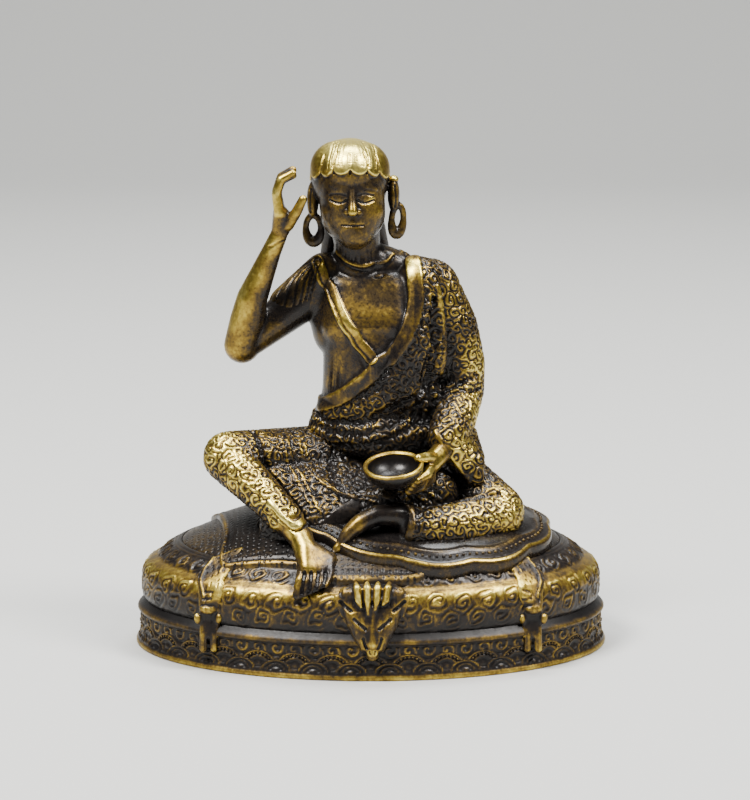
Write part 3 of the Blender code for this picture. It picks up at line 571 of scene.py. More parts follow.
hide_neck = front_depth(0.0, cushion_rim) * 0.97
hide_side = strap_spread - strap_width / 2
hide_front = front_depth(hide_side, cushion_rim)
hide_corners = [
    (-hide_side - 0.8, 6.5), (-hide_side - 0.4, 1.0), (-hide_side + 0.3, -4.5),
    (-hide_side, -hide_front * 0.9), (-hide_side + 1.8, -hide_front), (-6.5, -hide_neck * 0.87),
    (-3.2, -hide_neck), (3.4, -hide_neck), (6.3, -hide_neck * 0.87), (hide_side - 3.5, -hide_front),
    (hide_side, -hide_front * 0.9), (hide_side, -4.0), (hide_side + 0.6, 2.0), (hide_side - 0.6, 7.0),
    (6.0, 9.8), (-6.0, 9.8),
]


def hide_rim(edge):
    """A rounded welt along the edge with a groove inside it."""
    return 0.1 * ridge(edge - 0.24, 0.16) - 0.07 * ridge(edge - 0.62, 0.14) + 0.05 * ridge(edge - 0.95, 0.12)


hide_centre = np.array([0.0, -1.0])
hide_loop = smooth_loop(hide_corners)
hide_mesh, hide_edge = laid_plate("hide", hide_loop, hide_centre, hide_thickness, hide_steps, hide_rim)
hide_worn = 0.3 + 0.3 * ridge(hide_edge - 0.22, 0.22) - 0.12 * ridge(hide_edge - 0.62, 0.16)
hide_worn = np.append(hide_worn.ravel(), [0.0, 0.3])
cast(hide_mesh, hide_worn, aged_brass("hide_brass", mottling=0.4, pits=0.26, polish=-0.06))

# The legs and the head of the hide
# Two forelegs hang down the front of the base like straps and end in split hoofs, and the animal's head hangs
# between them, with leaf-like ears and four tufts of hair on its brow. They stand out as rounded cast forms.
seat_height = 11.0
fine_cell = 0.1
cloth_cell = 0.115
curl_height = 0.16


def turned(degrees):
    """A rotation about X, then Y, then Z."""
    spin = Matrix.Rotation(math.radians(degrees[2]), 3, "Z")
    spin = spin @ Matrix.Rotation(math.radians(degrees[1]), 3, "Y")
    return np.array(spin @ Matrix.Rotation(math.radians(degrees[0]), 3, "X"))


def ball_directions(subdivisions):
    ball = bmesh.new()
    bmesh.ops.create_icosphere(ball, subdivisions=subdivisions, radius=1)
    found = np.array([v.co for v in ball.verts])
    ball.free()
    return found


directions = ball_directions(3)


class Placed:
    """Something whose points are measured from a place, and mirrored across it where side is -1."""

    def measure_from(self, x, y, z, side=1):
        self.origin = np.array([x, y, z])
        self.mirror = np.array([side, 1, 1])

    def at(self, points):
        return np.array(points, dtype=float)[..., :3] * self.mirror + self.origin


class Wax(Placed):
    """A heap of overlapping closed shells, from which a skin is melted."""

    def __init__(self, lift=0, directions=directions):
        self.heap = bmesh.new()
        self.measure_from(0, 0, lift)
        self.directions = directions

    def shell(self, points):
        """The convex skin of a cloud of points."""
        fresh = [self.heap.verts.new(point) for point in points]
        done = bmesh.ops.convex_hull(self.heap, input=fresh, use_existing_faces=False)
        unused = {e for e in done["geom_interior"] + done["geom_unused"] if isinstance(e, bmesh.types.BMVert)}
        bmesh.ops.delete(self.heap, geom=list(unused), context="VERTS")

    def hull(self, *balls):
        """The skin stretched round several balls, each (x, y, z, radius)."""
        self.shell(np.concatenate([self.at(ball) + self.directions * ball[3] for ball in balls]))

    def limb(self, *balls):
        """A tapering limb through its balls, one after the other."""
        for first, second in zip(balls, balls[1:]):
            self.hull(first, second)

    def ball(self, centre, radii, turn=(0, 0, 0)):
        """An egg with three radii."""
        self.shell((self.directions * np.array(radii)) @ turned(turn).T + self.at(centre))

    def ring(self, centre, width, height, thickness, heavy=0, turn=(0, 0, 0), steps=18):
        """An oval ring that faces the viewer before it is turned. heavy thickens its lower half."""
        path = []
        for step in range(steps + 1):
            angle = 2 * math.pi * step / steps
            offset = turned(turn) @ np.array([width * math.cos(angle), 0, height * math.sin(angle)])
            path.append((*(np.array(centre) + offset), thickness + heavy * max(0, -math.sin(angle))))
        self.limb(*path)


class Skin(Placed):
    """A melted skin that is then worked with a modelling tool: ridges, grooves and curls."""

    def __init__(self, name, wax, voxel, easing):
        heap = bpy.data.meshes.new(name)
        wax.heap.to_mesh(heap)
        wax.heap.free()
        thing = linked("wax", heap)
        melt = thing.modifiers.new("melt", "REMESH")
        melt.mode = "VOXEL"
        melt.voxel_size = voxel * 1
        ease = thing.modifiers.new("ease", "SMOOTH")
        ease.factor = 0.5
        ease.iterations = easing
        self.mesh = plain_mesh(thing, name)
        self.origin, self.mirror = wax.origin, wax.mirror
        self.points = points_of(self.mesh)
        self.measure()
        edges = np.empty(len(self.mesh.edges) * 2, dtype=np.int64)
        self.mesh.edges.foreach_get("vertices", edges)
        self.ends = edges.reshape(-1, 2).T
        self.degree = np.bincount(edges, minlength=len(self.points))[:, None]
        self.plain, self.inked, self.bright = np.zeros((3, len(self.points)))

    def measure(self):
        """Takes the normals and the search tree of the skin as it now is."""
        normals = np.empty(len(self.points) * 3, dtype=np.float32)
        self.mesh.vertex_normals.foreach_get("vector", normals)
        self.normals = normals.reshape(-1, 3).astype(float)
        self.tree = tree_of(self.points)
        self.moved = np.zeros(len(self.points))

    def settle(self):
        """Moves the skin as the tool has pushed it."""
        self.points = self.points + self.normals * self.moved[:, None]
        self.mesh.vertices.foreach_set("co", self.points.ravel())
        self.mesh.update()
        self.measure()

    def distance(self, points, reach):
        """How far each point is from a smooth curve through these points laid on the skin, up to a reach."""
        knots = self.at([points[0], *points, points[-1]])
        nearest = np.full(len(self.points), 1e9)
        samples = []
        for a, b, c, d in zip(knots, knots[1:], knots[2:], knots[3:]):
            count = max(1, int(np.linalg.norm(c - b) / 0.14))
            samples += [between(a, b, c, d, step / count) for step in range(count)]
        samples.append(knots[-1])
        laid = np.array([self.points[self.tree.find(sample)[1]] for sample in samples])
        for _ in range(3):
            laid[1:-1] = (laid[:-2] + 2 * laid[1:-1] + laid[2:]) / 4
        inside = np.all((self.points > laid.min(0) - reach) & (self.points < laid.max(0) + reach), axis=1)
        chosen = np.nonzero(inside)[0]
        for start in range(0, len(laid), 16):
            group = laid[start:start + 16]
            gaps = np.linalg.norm(self.points[chosen][:, None] - group[None], axis=2).min(1)
            nearest[chosen] = np.minimum(nearest[chosen], gaps)
        return nearest

    def stroke(self, width, height, *points, flat=0, plain=0, bright=0):
        """A ridge, or with a height below zero a groove. flat widens its top, plain keeps curls off it."""
        nearest = self.distance(points, width)
        share = np.clip((1 - (nearest / width) ** 2) / (1 - flat), 0, 1)
        share = share * share * (3 - 2 * share)
        self.moved += share * height
        self.plain = np.maximum(self.plain, share * plain)
        self.bright += share * bright

    def keep_plain(self, *balls):
        """No curls inside these balls, each (x, y, z, radius)."""
        for *centre, radius in balls:
            distance = np.linalg.norm(self.points - self.at(centre), axis=1)
            self.plain = np.maximum(self.plain, 1 - eased(radius - 0.25, radius + 0.1, distance))

    def curl(self, height, pitch=0.44, spread=0.78, seed=1):
        """Dense curls all over the cloth: each place runs round the nearest of many evenly thrown centres."""
        dice = np.random.default_rng(seed)
        left = dice.permutation(np.nonzero(self.plain < 0.5)[0])
        centres = []
        while len(left):
            centres.append(left[0])
            gap = np.linalg.norm(self.points[left] - self.points[left[0]], axis=1)
            left = left[gap > spread * dice.uniform(0.6, 1.5)]
        tree = tree_of(self.points[centres])
        spins = dice.choice((-1, 1), len(centres))
        phases = dice.uniform(0, 2 * math.pi, len(centres))
        owner = np.array([tree.find(point)[1] for point in self.points])
        centre = np.array(centres)[owner]
        out = self.normals[centre]
        first = np.cross(out, np.array([0.31, 0.2, 0.93]))
        first /= np.linalg.norm(first, axis=1, keepdims=True) + 1e-9
        second = np.cross(out, first)
        ways = (((4.1, 2.3, 3.4), 0.4), ((-2.7, 4.6, 3.1), 1.9), ((3.3, -3.7, 4.4), 4.1))
        bent = np.stack([np.sin(self.points @ np.array(way) + turn) for way, turn in ways], axis=1)
        offset = self.points - self.points[centre] + 0.1 * bent
        angle = np.arctan2((offset * second).sum(1), (offset * first).sum(1))
        radius = np.linalg.norm(offset, axis=1)
        wave = 0.5 + 0.5 * np.cos(2 * math.pi * radius / pitch - spins[owner] * angle + phases[owner] * 0.3)
        wave = wave**0.6
        open_cloth = 1 - self.plain
        self.moved += open_cloth * (wave - 0.5) * height
        self.inked = open_cloth * (wave - 0.55)

    def stands_out(self, rounds):
        """How far each point stands out from the same skin melted smooth, in millimetres."""
        soft = self.points.copy()
        one, two = self.ends
        for _ in range(rounds):
            total = np.empty(soft.shape)
            for axis, column in enumerate(soft.T):
                total[:, axis] = np.bincount(one, column[two], len(soft))
                total[:, axis] += np.bincount(two, column[one], len(soft))
            soft = 0.5 * soft + 0.5 * total / self.degree
        return ((self.points - soft) * self.normals).sum(1)

    def finished(self, finish, base, triangles, rubbed=(), fine=0.22, broad=0.3):
        """Casts the skin: lighter where it stands out, where it is rubbed and on the ridges of its curls, all
        as wear, and a little lighter on upward faces and darker on downward ones as painted light from above.
        """
        self.settle()
        wear_and_painted_light = base + fine * np.clip(self.stands_out(6) / 0.03, -1, 1)
        wear_and_painted_light += broad * np.clip(self.stands_out(60) / 0.16, -0.6, 1)
        # The last term is painted light from above: upward faces a little lighter, downward faces a little
        # darker.
        wear_and_painted_light += 0.34 * self.inked + self.bright + 0.06 * self.normals[:, 2]
        for *centre, radius, amount in rubbed:
            gap = np.linalg.norm(self.points - self.at(centre), axis=1)
            wear_and_painted_light += amount * (1 - eased(radius * 0.35, radius, gap))
        name = self.mesh.name
        thing = linked("thinning", self.mesh)
        fewer = thing.modifiers.new("fewer", "DECIMATE")
        fewer.ratio = min(1, triangles / (2 * len(self.mesh.polygons)))
        thinned = plain_mesh(thing, name)
        nearest = [self.tree.find(point)[1] for point in points_of(thinned)]
        cast(thinned, np.clip(wear_and_painted_light, 0, 1.1)[nearest], finish)


def both(*balls):
    """These balls and their mirror images."""
    return [(side * x, *rest) for x, *rest in balls for side in (-1, 1)]


half = strap_width / 2
rim_y = front_depth(strap_spread, cushion_rim)
side_y = front_depth(strap_spread, cushion_edge)
y = rim_y * 0.84
ends = (strap_spread - 2.7, strap_spread - 0.3)
rows = [[(x, -y, float(top_height(x, y)) + 0.1, 0.3) for x in ends]]
for degrees, width in ((72, 1), (45, 0.95), (18, 0.8)):
    turn = math.radians(degrees)
    reach = cushion_edge - cushion_round * (1 - math.cos(turn))
    z = cushion_shoulder - cushion_round * (1 - math.sin(turn)) + 0.05
    ends = (strap_spread - width, strap_spread + width)
    rows.append([(x, -front_depth(x, reach) - 0.05, z, 0.3) for x in ends])
lower_rows = (0.1, plinth_height + 1.9, 0.65), (0.1, plinth_height + 0.6, 0.6), (0.4, ledge_foot, 0.6)
for out, z, width in lower_rows:
    ends = (strap_spread + 0.1 - width, strap_spread + 0.1 + width)
    rows.append([(x, -side_y - out, z, 0.3) for x in ends])
wax = Wax()
for side in (-1, 1):
    wax.measure_from(0, 0, 0, side)
    for upper, lower in zip(rows, rows[1:]):
        wax.hull(*upper, *lower)
    wax.measure_from(side * (strap_spread + 0.2), -side_y - 0.4, ledge_foot, side)
    wax.ball((0, 0.25, 2.4), (0.85, 0.6, 0.55))
    for toe in (-1, 1):
        wax.hull((toe * half * 0.58, 0, 0, 0.38), (toe * half * 0.72, -0.05, -1.2, 0.34))
        wax.ball((toe * (half + 0.25), 0.1, 1.5), (0.33, 0.38, 0.52), turn=(0, 12 * toe * side, 0))
head_front = front_depth(0, cushion_edge)
head_top = cushion_shoulder
head_x = 0.15
wax.measure_from(head_x, -head_front, head_top)
wax.hull(*both((2.25, 0.7, -0.5, 0.75), (1.55, -0.1, -2.8, 0.75)))
wax.hull(*both((1.55, -0.1, -2.8, 0.75), (0.6, -0.4, -4.8, 0.65)))
wax.hull(*both((1.65, 1.6, 0, 0.5), (1.95, 0.6, -0.5, 0.75)))
wax.hull((0, -0.3, -4.4, 0.85), (0, -0.5, -5.6, 0.6))
wax.limb((0, -0.2, -1.6, 0.45), (0, -0.8, -4.6, 0.48))
wax.ball((0, -0.95, -5.35), (0.52, 0.36, 0.42))
for ear in (-1, 1):
    wax.measure_from(head_x, -head_front, head_top, ear)
    wax.hull((1.9, 0.2, -1.6, 0.5), (3.1, 0.3, -0.6, 0.28), (2.6, 0.2, -2.2, 0.25))
    wax.limb((0.5, -0.2, -2.5, 0.3), (1.6, 0, -1.9, 0.35))
    wax.ball((1.05, -0.62, -2.95), (0.3, 0.2, 0.24))
wax.measure_from(0, -head_front, head_top)
for tuft, length in enumerate((1.3, 1.9, 1.5, 1.1)):
    across = 0.15 + 0.9 * (tuft - 1.5)
    wax.limb(
        (across * 1.1, 1, 0.45, 0.2), (across, 0, 0.25, 0.34), (across * 0.9, -0.42, -0.7, 0.3),
        (across * 0.7, -0.4 - 0.15 * length, -length, 0.12),
    )
animal = Skin("hide_head_and_legs", wax, fine_cell, 5)
for ear in (-1, 1):
    animal.measure_from(head_x, -head_front, head_top, ear)
    animal.stroke(0.24, -0.22, (1.9, -0.3, -1.7), (2.8, 0, -1))
    animal.stroke(0.2, -0.16, (0.6, -1.1, -3.2), (1.6, -0.7, -2.4))
    animal.stroke(0.16, -0.16, (0.55, -1.2, -5), (0.85, -1, -4))
    animal.stroke(0.12, -0.14, (0.25, -1.4, -5.3), (0.3, -1.3, -5.1))
for side in (-1, 1):
    animal.measure_from(side * strap_spread, -side_y, cushion_shoulder)
    for level in (0.2, 0.9, 1.6):
        animal.stroke(0.2, -0.07, (-half, -0.4, -0.6 - level), (0, -0.5, -0.6 - level))
    for edge in (-1, 1):
        top_end = (edge * 1.3 - side * 1.4, side_y - rim_y * 0.86, 1.6)
        animal.stroke(0.17, 0.07, top_end, (edge * 1, side_y - rim_y, 0.5), (edge * half, -0.3, -1.4))
animal.settle()
animal.measure_from(0, 0, cushion_shoulder)
animal.finished(
    aged_brass("hide_head_brass", mottling=0.7, pits=0.12, polish=-0.1), base=0.27, triangles=36000,
    rubbed=[
        (0, -head_front, 0.2, 2.2, 0.34), (head_x, -head_front - 1, -5, 0.9, 0.2),
        (strap_spread, -side_y, -0.2, 1.9, 0.34), (-strap_spread, -side_y, -0.2, 1.9, 0.34),
    ],
)

# The mat
# A round scalloped mat under the figure, with a double rim and a row of beads between. It is cast in one
# with the hide and lies dark on it, with its rim rubbed bright.
mat_length = 24.4
mat_depth = 20.6
mat_centre = np.array([4, -1.4])
mat_thickness = 1.05
mat_lobes = 11
mat_steps = 400
mat_bead_size = 0.17
mat_bead_step = 0.62
mat_bead_inset = 0.78
turns = np.linspace(0, 2 * math.pi, 440, endpoint=False)
scallop = 1 + 0.035 * np.abs(np.sin(turns * mat_lobes / 2))
mat_size = np.array([mat_length, mat_depth]) / 2
mat_loop = mat_centre + mat_size * np.stack([scallop * np.cos(turns), scallop * np.sin(turns)], axis=1)


def mat_rim(edge):
    """A double rim, with the middle let in a little."""
    return 0.13 * ridge(edge - 0.2, 0.15) + 0.1 * ridge(edge - 1.35, 0.14) - 0.1 * eased(1.5, 1.9, edge)


mat_mesh, mat_edge = laid_plate("mat", mat_loop, mat_centre, mat_thickness, mat_steps, mat_rim)
mat_worn = 0.14 + 0.62 * ridge(mat_edge - 0.16, 0.14) + 0.28 * ridge(mat_edge - 1.35, 0.18)
mat_worn = np.append(mat_worn.ravel(), [0, 0.2])
cast(mat_mesh, mat_worn, aged_brass("mat_brass", mottling=0.35, polish=0.04))
turns = np.linspace(0, 2 * math.pi, 241)
scallop = 1 + 0.02 * np.abs(np.sin(turns * mat_lobes / 2))
mat_x = mat_centre[0] + (mat_length / 2 - mat_bead_inset) * scallop * np.cos(turns)
mat_y = mat_centre[1] + (mat_depth / 2 - mat_bead_inset) * scallop * np.sin(turns)
mat_chain = np.stack([mat_x, mat_y, top_height(mat_x, mat_y) + mat_thickness + 0.02], axis=1)
mat_bead_brass = aged_brass("mat_bead_brass", mottling=0.4)
strung("mat_beads", [mat_chain], mat_bead_size, mat_bead_step, 0.4, mat_bead_brass)

# The legs and the lap
# One knee stands up and its foot comes down over the front of the cushion, and the other leg lies folded on
# the mat. Cast cloth with dense curls covers them down to a cuff above each bare foot. It is rubbed bright
# on both knees, on the shin and on the foot.
wax = Wax(seat_height)
wax.limb((-3, 1.6, 5, 3.7), (-8, -1.2, 6.2, 2.75), (-12.8, -3.8, 7, 2.2))
wax.limb((-12.9, -3.9, 6.8, 2.1), (-11.5, -5.4, 5.7, 1.9), (-9.4, -7, 4, 1.65), (-7.6, -8.3, 2.3, 1.5))
wax.limb((-7.6, -8.3, 2.2, 1.25), (-6.2, -9.3, 0.8, 1.1))
wax.hull((-8.8, -6.9, 2.5, 1), (-9.5, -6.3, -1.3, 0.6), (-7, -7.2, -1.2, 0.7), (-6.4, -7.5, 1, 1))
wax.limb((-6.2, -9.3, 0.8, 1.1), (-5.7, -10.4, -0.1, 1.05))
wax.hull(
    (-5.8, -10.2, 0, 1.05), (-3.7, -10.8, -0.9, 0.8), (-5.6, -11.9, -1.4, 0.8), (-3.7, -11.8, -1.8, 0.55),
    (-5.6, -10.4, -1.6, 0.8),
)
for toe in range(5):
    across = -6.2 + 0.62 * toe
    size = 0.42 - 0.03 * toe
    tip = (across - 0.25, -13.3, -3.5 + 0.24 * toe, size)
    wax.limb((across + 0.2, -11.9, -1.6, size + 0.12), (across, -12.8, -2.2, size + 0.03), tip)
wax.limb((4.6, 2.4, 3.8, 3.9), (8.4, -0.1, 3, 3.1), (11.3, -3.3, 1.7, 2.55))
wax.limb((11.2, -4, 1.4, 2.4), (7.5, -6.7, 1.2, 2.1), (4, -8, 1.3, 1.75))
wax.limb(
    (4, -7.8, 1.9, 1.35), (2.2, -8.3, 2.6, 1.05), (0.6, -8.7, 2.7, 0.92), (-0.9, -9.1, 2.1, 0.85),
    (-2, -9.5, 1.2, 0.7), (-2.6, -9.8, 0.5, 0.5),
)
for toe in range(4):
    size = 0.46 - 0.04 * toe
    wax.ball((-2.95 + 0.16 * toe, -10.1 + 0.36 * toe, 0.02 + 0.06 * toe), (size, 0.34, size))
wax.hull(
    (-1.5, 0, 4.2, 2.6), (-9, -3.6, 5, 1.5), (-7.4, -6.4, 2, 1.2), (0.6, -5.4, 1.8, 2),
    (-3, -6.8, 0.6, 1),
)
wax.hull((1.6, -6, 3.2, 1.7), (5.5, -3.5, 3.6, 2.4), (-0.6, -5, 2.4, 1.8))
wax.hull((-9, -4, 0.2, 1.6), (10, -3, -0.6, 1.6), (0, 5, -0.4, 3), (2, -7.4, -0.6, 1.4))
wax.ball((1.2, 3, 4.5), (6.2, 4.9, 4.6))
legs = Skin("legs_and_lap", wax, cloth_cell, 18)
cuff = [(-8.9, -9, 3.9), (-7.8, -10, 2.6), (-6.5, -9.6, 1.9), (-5.9, -8.2, 2.4)]
legs.stroke(0.42, 0.2, *cuff, flat=0.5, plain=1, bright=0.1)
legs.stroke(0.13, -0.22, (-8.7, -9.1, 3.3), (-7.6, -10.1, 2.1), (-6.3, -9.7, 1.4), (-5.7, -8.3, 1.9))
for line in range(2):
    step = 0.5 * line
    start = [(-6.1 + step, -3.5, 8.7), (-5.3 + step, -5, 6.8), (-3.5 + 0.3 * line, -6.5, 5.0 + 0.2 * line)]
    legs.stroke(0.17, 0.2, *start, (-1, -7, 4.0 + step), (0.6, -7.2, 3.5 + step), plain=0.8, bright=0.06)
    shin = [(-8.2 + 0.6 * line, -3, 8.2), (-6.8 + 0.6 * line, -5, 5.4), (-5.2 + step, -6.8, 2.6)]
    legs.stroke(0.16, 0.18, *shin, plain=0.7, bright=0.05)
sole = [(-1.6, -7.6, 3.6), (-3, -8, 2.2), (-4.2, -7.8, 1)]
legs.stroke(0.9, 0.12, *sole, flat=0.3, plain=1, bright=-0.05)
legs.stroke(0.6, -0.2, (-3, -1.5, 7.6), (-3.4, -4, 5.4), (-2.4, -6, 3.4))
legs.stroke(0.45, -0.35, (-10.8, -2.6, 9.2), (-9.8, -4.4, 7), (-8, -6, 4.2), (-6.6, -7.2, 1.4))
legs.stroke(0.5, -0.3, (4.2, -7.2, 3.2), (8, -6, 3.4), (11.4, -4.6, 3.4))
cuff = [(1, -7, 4.2), (3.4, -8.4, 3.4), (3.6, -9.6, 2), (3.2, -9.7, 0.4)]
legs.stroke(0.4, 0.2, *cuff, flat=0.4, plain=1, bright=-0.02)
for fold in range(3):
    legs.stroke(0.4, -0.28, (2.2 + 1.5 * fold, -6.4, 5), (4.2 + 1.4 * fold, -6.6, 3.4 + 0.2 * fold))
for toe in range(4):
    across = -5.89 + 0.62 * toe
    legs.stroke(0.2, -0.2, (across + 0.1, -12.6, -1.5), (across, -13.2, -2.1), (across - 0.2, -13.8, -3.2))
legs.keep_plain(
    (-6.8, -9.3, 1.2, 1.75), (-5.6, -10.6, -0.4, 2), (-4.6, -12.2, -1.6, 2.2), (-4.8, -13.4, -3.2, 2),
    (2.6, -8.8, 2.4, 1.6), (0.8, -9, 2.2, 2.1), (-1.4, -9.4, 1.4, 2), (-2.6, -10, 0.4, 1.8),
)
depth = seat_height - legs.points[:, 2] + 0.2 * np.abs(legs.points[:, 0])
legs.plain = np.maximum(legs.plain, 0.4 * eased(0.2, 1.2, depth))
legs.settle()
legs.curl(curl_height, seed=4)
legs.finished(
    aged_brass("trouser_brass", mottling=0.65), base=0.13, triangles=188000,
    rubbed=[
        (-13.8, -5.2, 8.6, 3.4, 0.42), (-11.6, -7, 6.4, 2.7, 0.42), (-9.6, -8.4, 4.6, 2.4, 0.42),
        (-7.6, -9.6, 2.6, 2.4, 0.46), (-6.4, -10.6, 0.8, 2, 0.48), (-5, -11.8, -0.8, 1.8, 0.34),
        (12.8, -5.4, 2.4, 3.6, 0.44), (9.4, -8, 2, 2.8, 0.34), (6.2, -9, 2, 2.2, 0.2),
        (-2.9, -10.4, 0.1, 0.9, 0.2), (-1.6, -9.9, 2, 1.4, 0.2), (-5, -13.4, -3.2, 1.4, -0.16),
        (-6.3, -13.3, -2.4, 0.9, 0.3),
    ],
    fine=0.08,
)

# The body and the robe
# The chest is bare between two crossed bands. The robe goes over one shoulder and that arm, and is wound
# round the waist in folds. Its cloth is chased with dense curls and its bands are plain. One casting.
wax = Wax(seat_height)
wax.ball((1.2, 3, 4.5), (6.2, 4.9, 4.6))
wax.ball((0.8, 1.3, 10.5), (4.9, 3.8, 4))
wax.ball((0.7, 1.1, 16.6), (4.9, 4, 5.6))
wax.hull((-4.1, 1.7, 21.4, 2.1), (4.2, 1.9, 21.4, 2.3), (-2.6, 1, 17.6, 2.7), (3.3, 1.2, 17.4, 2.8))
wax.hull((-3.4, 1.8, 22.4, 1.7), (-1.2, 1.5, 24.3, 1.9), (2.3, 2, 23, 1.8))
wax.limb((-1.1, 1.5, 22.5, 2.2), (-1.4, 0.9, 27, 2))
wax.hull((4.3, 1.2, 21.8, 2.5), (3.6, -0.7, 17, 2.4), (2.2, -1.1, 13.6, 2.2), (5, 1.6, 15, 2.6))
wax.hull((2.6, -1, 13.2, 2.2), (0.4, -1, 11.4, 2.1), (-2.6, 0, 10.2, 2.2), (4.8, 1.2, 10.4, 2.6))
wax.hull((-3.2, 0.6, 8.6, 2.5), (0.5, -1.3, 8.4, 2.3), (5.2, 0.8, 8.6, 2.7), (1, 4, 8, 2.4))
wax.limb(
    (5.3, 2.2, 21.2, 2.75), (7.2, 2.4, 17.6, 2.5), (8, 2.4, 14.4, 2.35),
    (8, 2.2, 11.8, 2.3), (7.6, -0.6, 10.2, 2.05), (7, -3, 9, 1.75),
)
wax.hull((6.6, -3.7, 8.6, 1.5), (8.9, -2.6, 6.3, 1.4), (7.9, -0.6, 8.6, 1.6), (9.4, -3.4, 4.8, 0.8))
wax.hull((-4.2, 1.3, 22.8, 1.9), (-7.4, 0.9, 19.9, 1.9), (-4.4, 1.7, 21, 2.2))
wax.hull((-1.4, 0.2, 17, 2.9), (-1.9, 0.2, 12, 2.5), (-0.4, -0.4, 14.5, 2.5))
wax.hull((-2.1, 0.4, 14.4, 2), (-2.5, 0.4, 10.6, 2.2), (0.4, -0.9, 13.4, 2.1), (0, -0.2, 18, 2.6))
wax.hull((-2.6, 0.6, 21.2, 2), (2, 0.6, 21.2, 2), (-2, -0.2, 18.4, 2.6), (2, -0.4, 18.4, 2.4))
body = Skin("body_and_robe", wax, cloth_cell, 36)
robe_band = [
    (3.7, 0.6, 24.4), (4, -1.4, 22.4), (3.9, -2.2, 19.9), (2.7, -3.1, 17.2), (0.7, -3.4, 15),
    (-1.9, -3.1, 12.6), (-4.4, -1, 11.2), (-4.8, 1.4, 11),
]
vest_band = [(-4.6, 0.6, 23.6), (-4, -1.5, 22), (-2.5, -2.9, 19.3), (-1, -3.3, 17), (0, -3.4, 15.8)]
neck_line = [(-3.4, 0, 24.9), (-2.4, -1.2, 24.1), (-0.3, -1.5, 23.7), (1.6, -0.9, 24.3), (2.3, 0.2, 25.2)]
body.stroke(0.62, 0.2, *vest_band, flat=0.6, plain=1, bright=0.03)
body.stroke(0.14, -0.1, *[(x - 0.18, y, z - 0.1) for x, y, z in vest_band], plain=1)
body.stroke(0.78, 0.26, *robe_band, flat=0.6, plain=1, bright=0.05)
body.stroke(0.22, 0.14, *neck_line, plain=1, bright=-0.02)
body.stroke(0.18, -0.1, *[(x, y, z - 0.4) for x, y, z in neck_line], plain=1)
for fold in range(3):
    front_end = [(2, -3.4, 11.0 - 1.2 * fold), (5.2, -1.6, 13.0 - 1.4 * fold)]
    body.stroke(0.42, -0.15, (-4.4, 0, 10.0 - 1.0 * fold), (-1.5, -2.8, 9.8 - 1.1 * fold), *front_end)
for fold in range(3):
    sleeve_end = [(5.6 - 0.8 * fold, -1.4, 12), (5.4 - 0.8 * fold, -1.8, 9.4)]
    body.stroke(0.5, -0.5, (5.2 - 0.5 * fold, -0.6, 20.6 - fold), (5.5 - 0.7 * fold, -1, 16), *sleeve_end)
plain_fold = [(5.9, -0.6, 21.8), (6.4, -0.4, 18), (6.3, -0.6, 14)]
body.stroke(0.32, 0.22, *plain_fold, flat=0.3, plain=0.7, bright=0.08)
for pleat in range(7):
    body.stroke(
        0.15, -0.11,
        (-4.4 - 0.08 * pleat, 0.1 + 0.1 * pleat, 24.2 - 0.05 * pleat),
        (-5.2 - 0.3 * pleat, -0.6 + 0.3 * pleat, 22.0 + 0.05 * pleat),
        (-5.8 - 0.5 * pleat, -0.9 + 0.2 * pleat, 19.2 + 0.08 * pleat),
        plain=1, bright=-0.04,
    )
sleeve_edge = [(5.6, -4.8, 9.6), (6.6, -5.2, 8), (7.8, -4.6, 6.2), (9, -3.8, 4.8)]
body.stroke(0.24, 0.16, *sleeve_edge, plain=1, bright=0.1)
for fold in range(4):
    start = [(5.6 - 0.5 * fold, 4.4, 21.4 - 1.6 * fold), (2.0 - 0.4 * fold, 5.2, 16.4 - 1.4 * fold)]
    height = (0.35, -0.35)[fold % 2]
    body.stroke(0.55, height, *start, (-2.6, 4.2, 11.6 - 1.2 * fold), (-4.6, 1.6, 9.6 - 1.0 * fold))
for crease in range(3):
    start = [(9.4, 1, 13.6 - 1.5 * crease), (7.6, -0.4, 12.6 - 1.3 * crease)]
    body.stroke(0.34, -0.26, *start, (6, -0.8, 12.4 - 1.2 * crease))
across = body.points[:, 0]
rise = body.points[:, 2] - seat_height


def above(first, second):
    """Which points of the body lie above the line through two points of the front view."""
    (x, z), (end_x, end_z) = first, second
    return (rise - z) * (end_x - x) - (across - x) * (end_z - z) > 0


front = body.points[:, 1] < 1.5
chest = front & above((-2.5, 19.3), (0.4, 15.2)) & above((0.7, 15), (2.7, 17.2))
chest &= (across < 3.9) & (across > -4.6)
vest = front & above((-4.4, 11.6), (0.7, 15)) & ~chest & (across < 1)
body.plain[chest | vest] = 1.0
body.plain = np.maximum(body.plain, eased(23.2, 23.8, rise) * (across < 2.6))
body.settle()
shoulder = eased(-4.8, -5.2, body.points[:, 0]) * (body.points[:, 2] > seat_height + 17)
body.plain = np.maximum(body.plain, shoulder)
body.bright += 0.2 * (chest | vest)
body.curl(curl_height, seed=11)
body.finished(
    aged_brass("robe_brass", mottling=0.65), base=0.13, triangles=186000,
    rubbed=[
        (-0.6, -3.2, 19.4, 3.6, 0.12), (3.6, -1.6, 24.2, 2.6, 0.42), (7.6, 0.6, 20.6, 3.4, 0.26),
        (10.8, 0, 15, 3.6, 0.5), (10.2, -1.4, 10.6, 3.4, 0.44), (8.4, -4.6, 7.8, 2.8, 0.44),
        (-3.2, -2.8, 19, 2.6, 0.12), (-3.2, -2.6, 12.4, 2.6, 0.14), (3.2, -2.4, 13.6, 3.6, -0.14),
        (-7, -0.4, 20.2, 2.8, -0.06),
    ],
    fine=0.08,
)

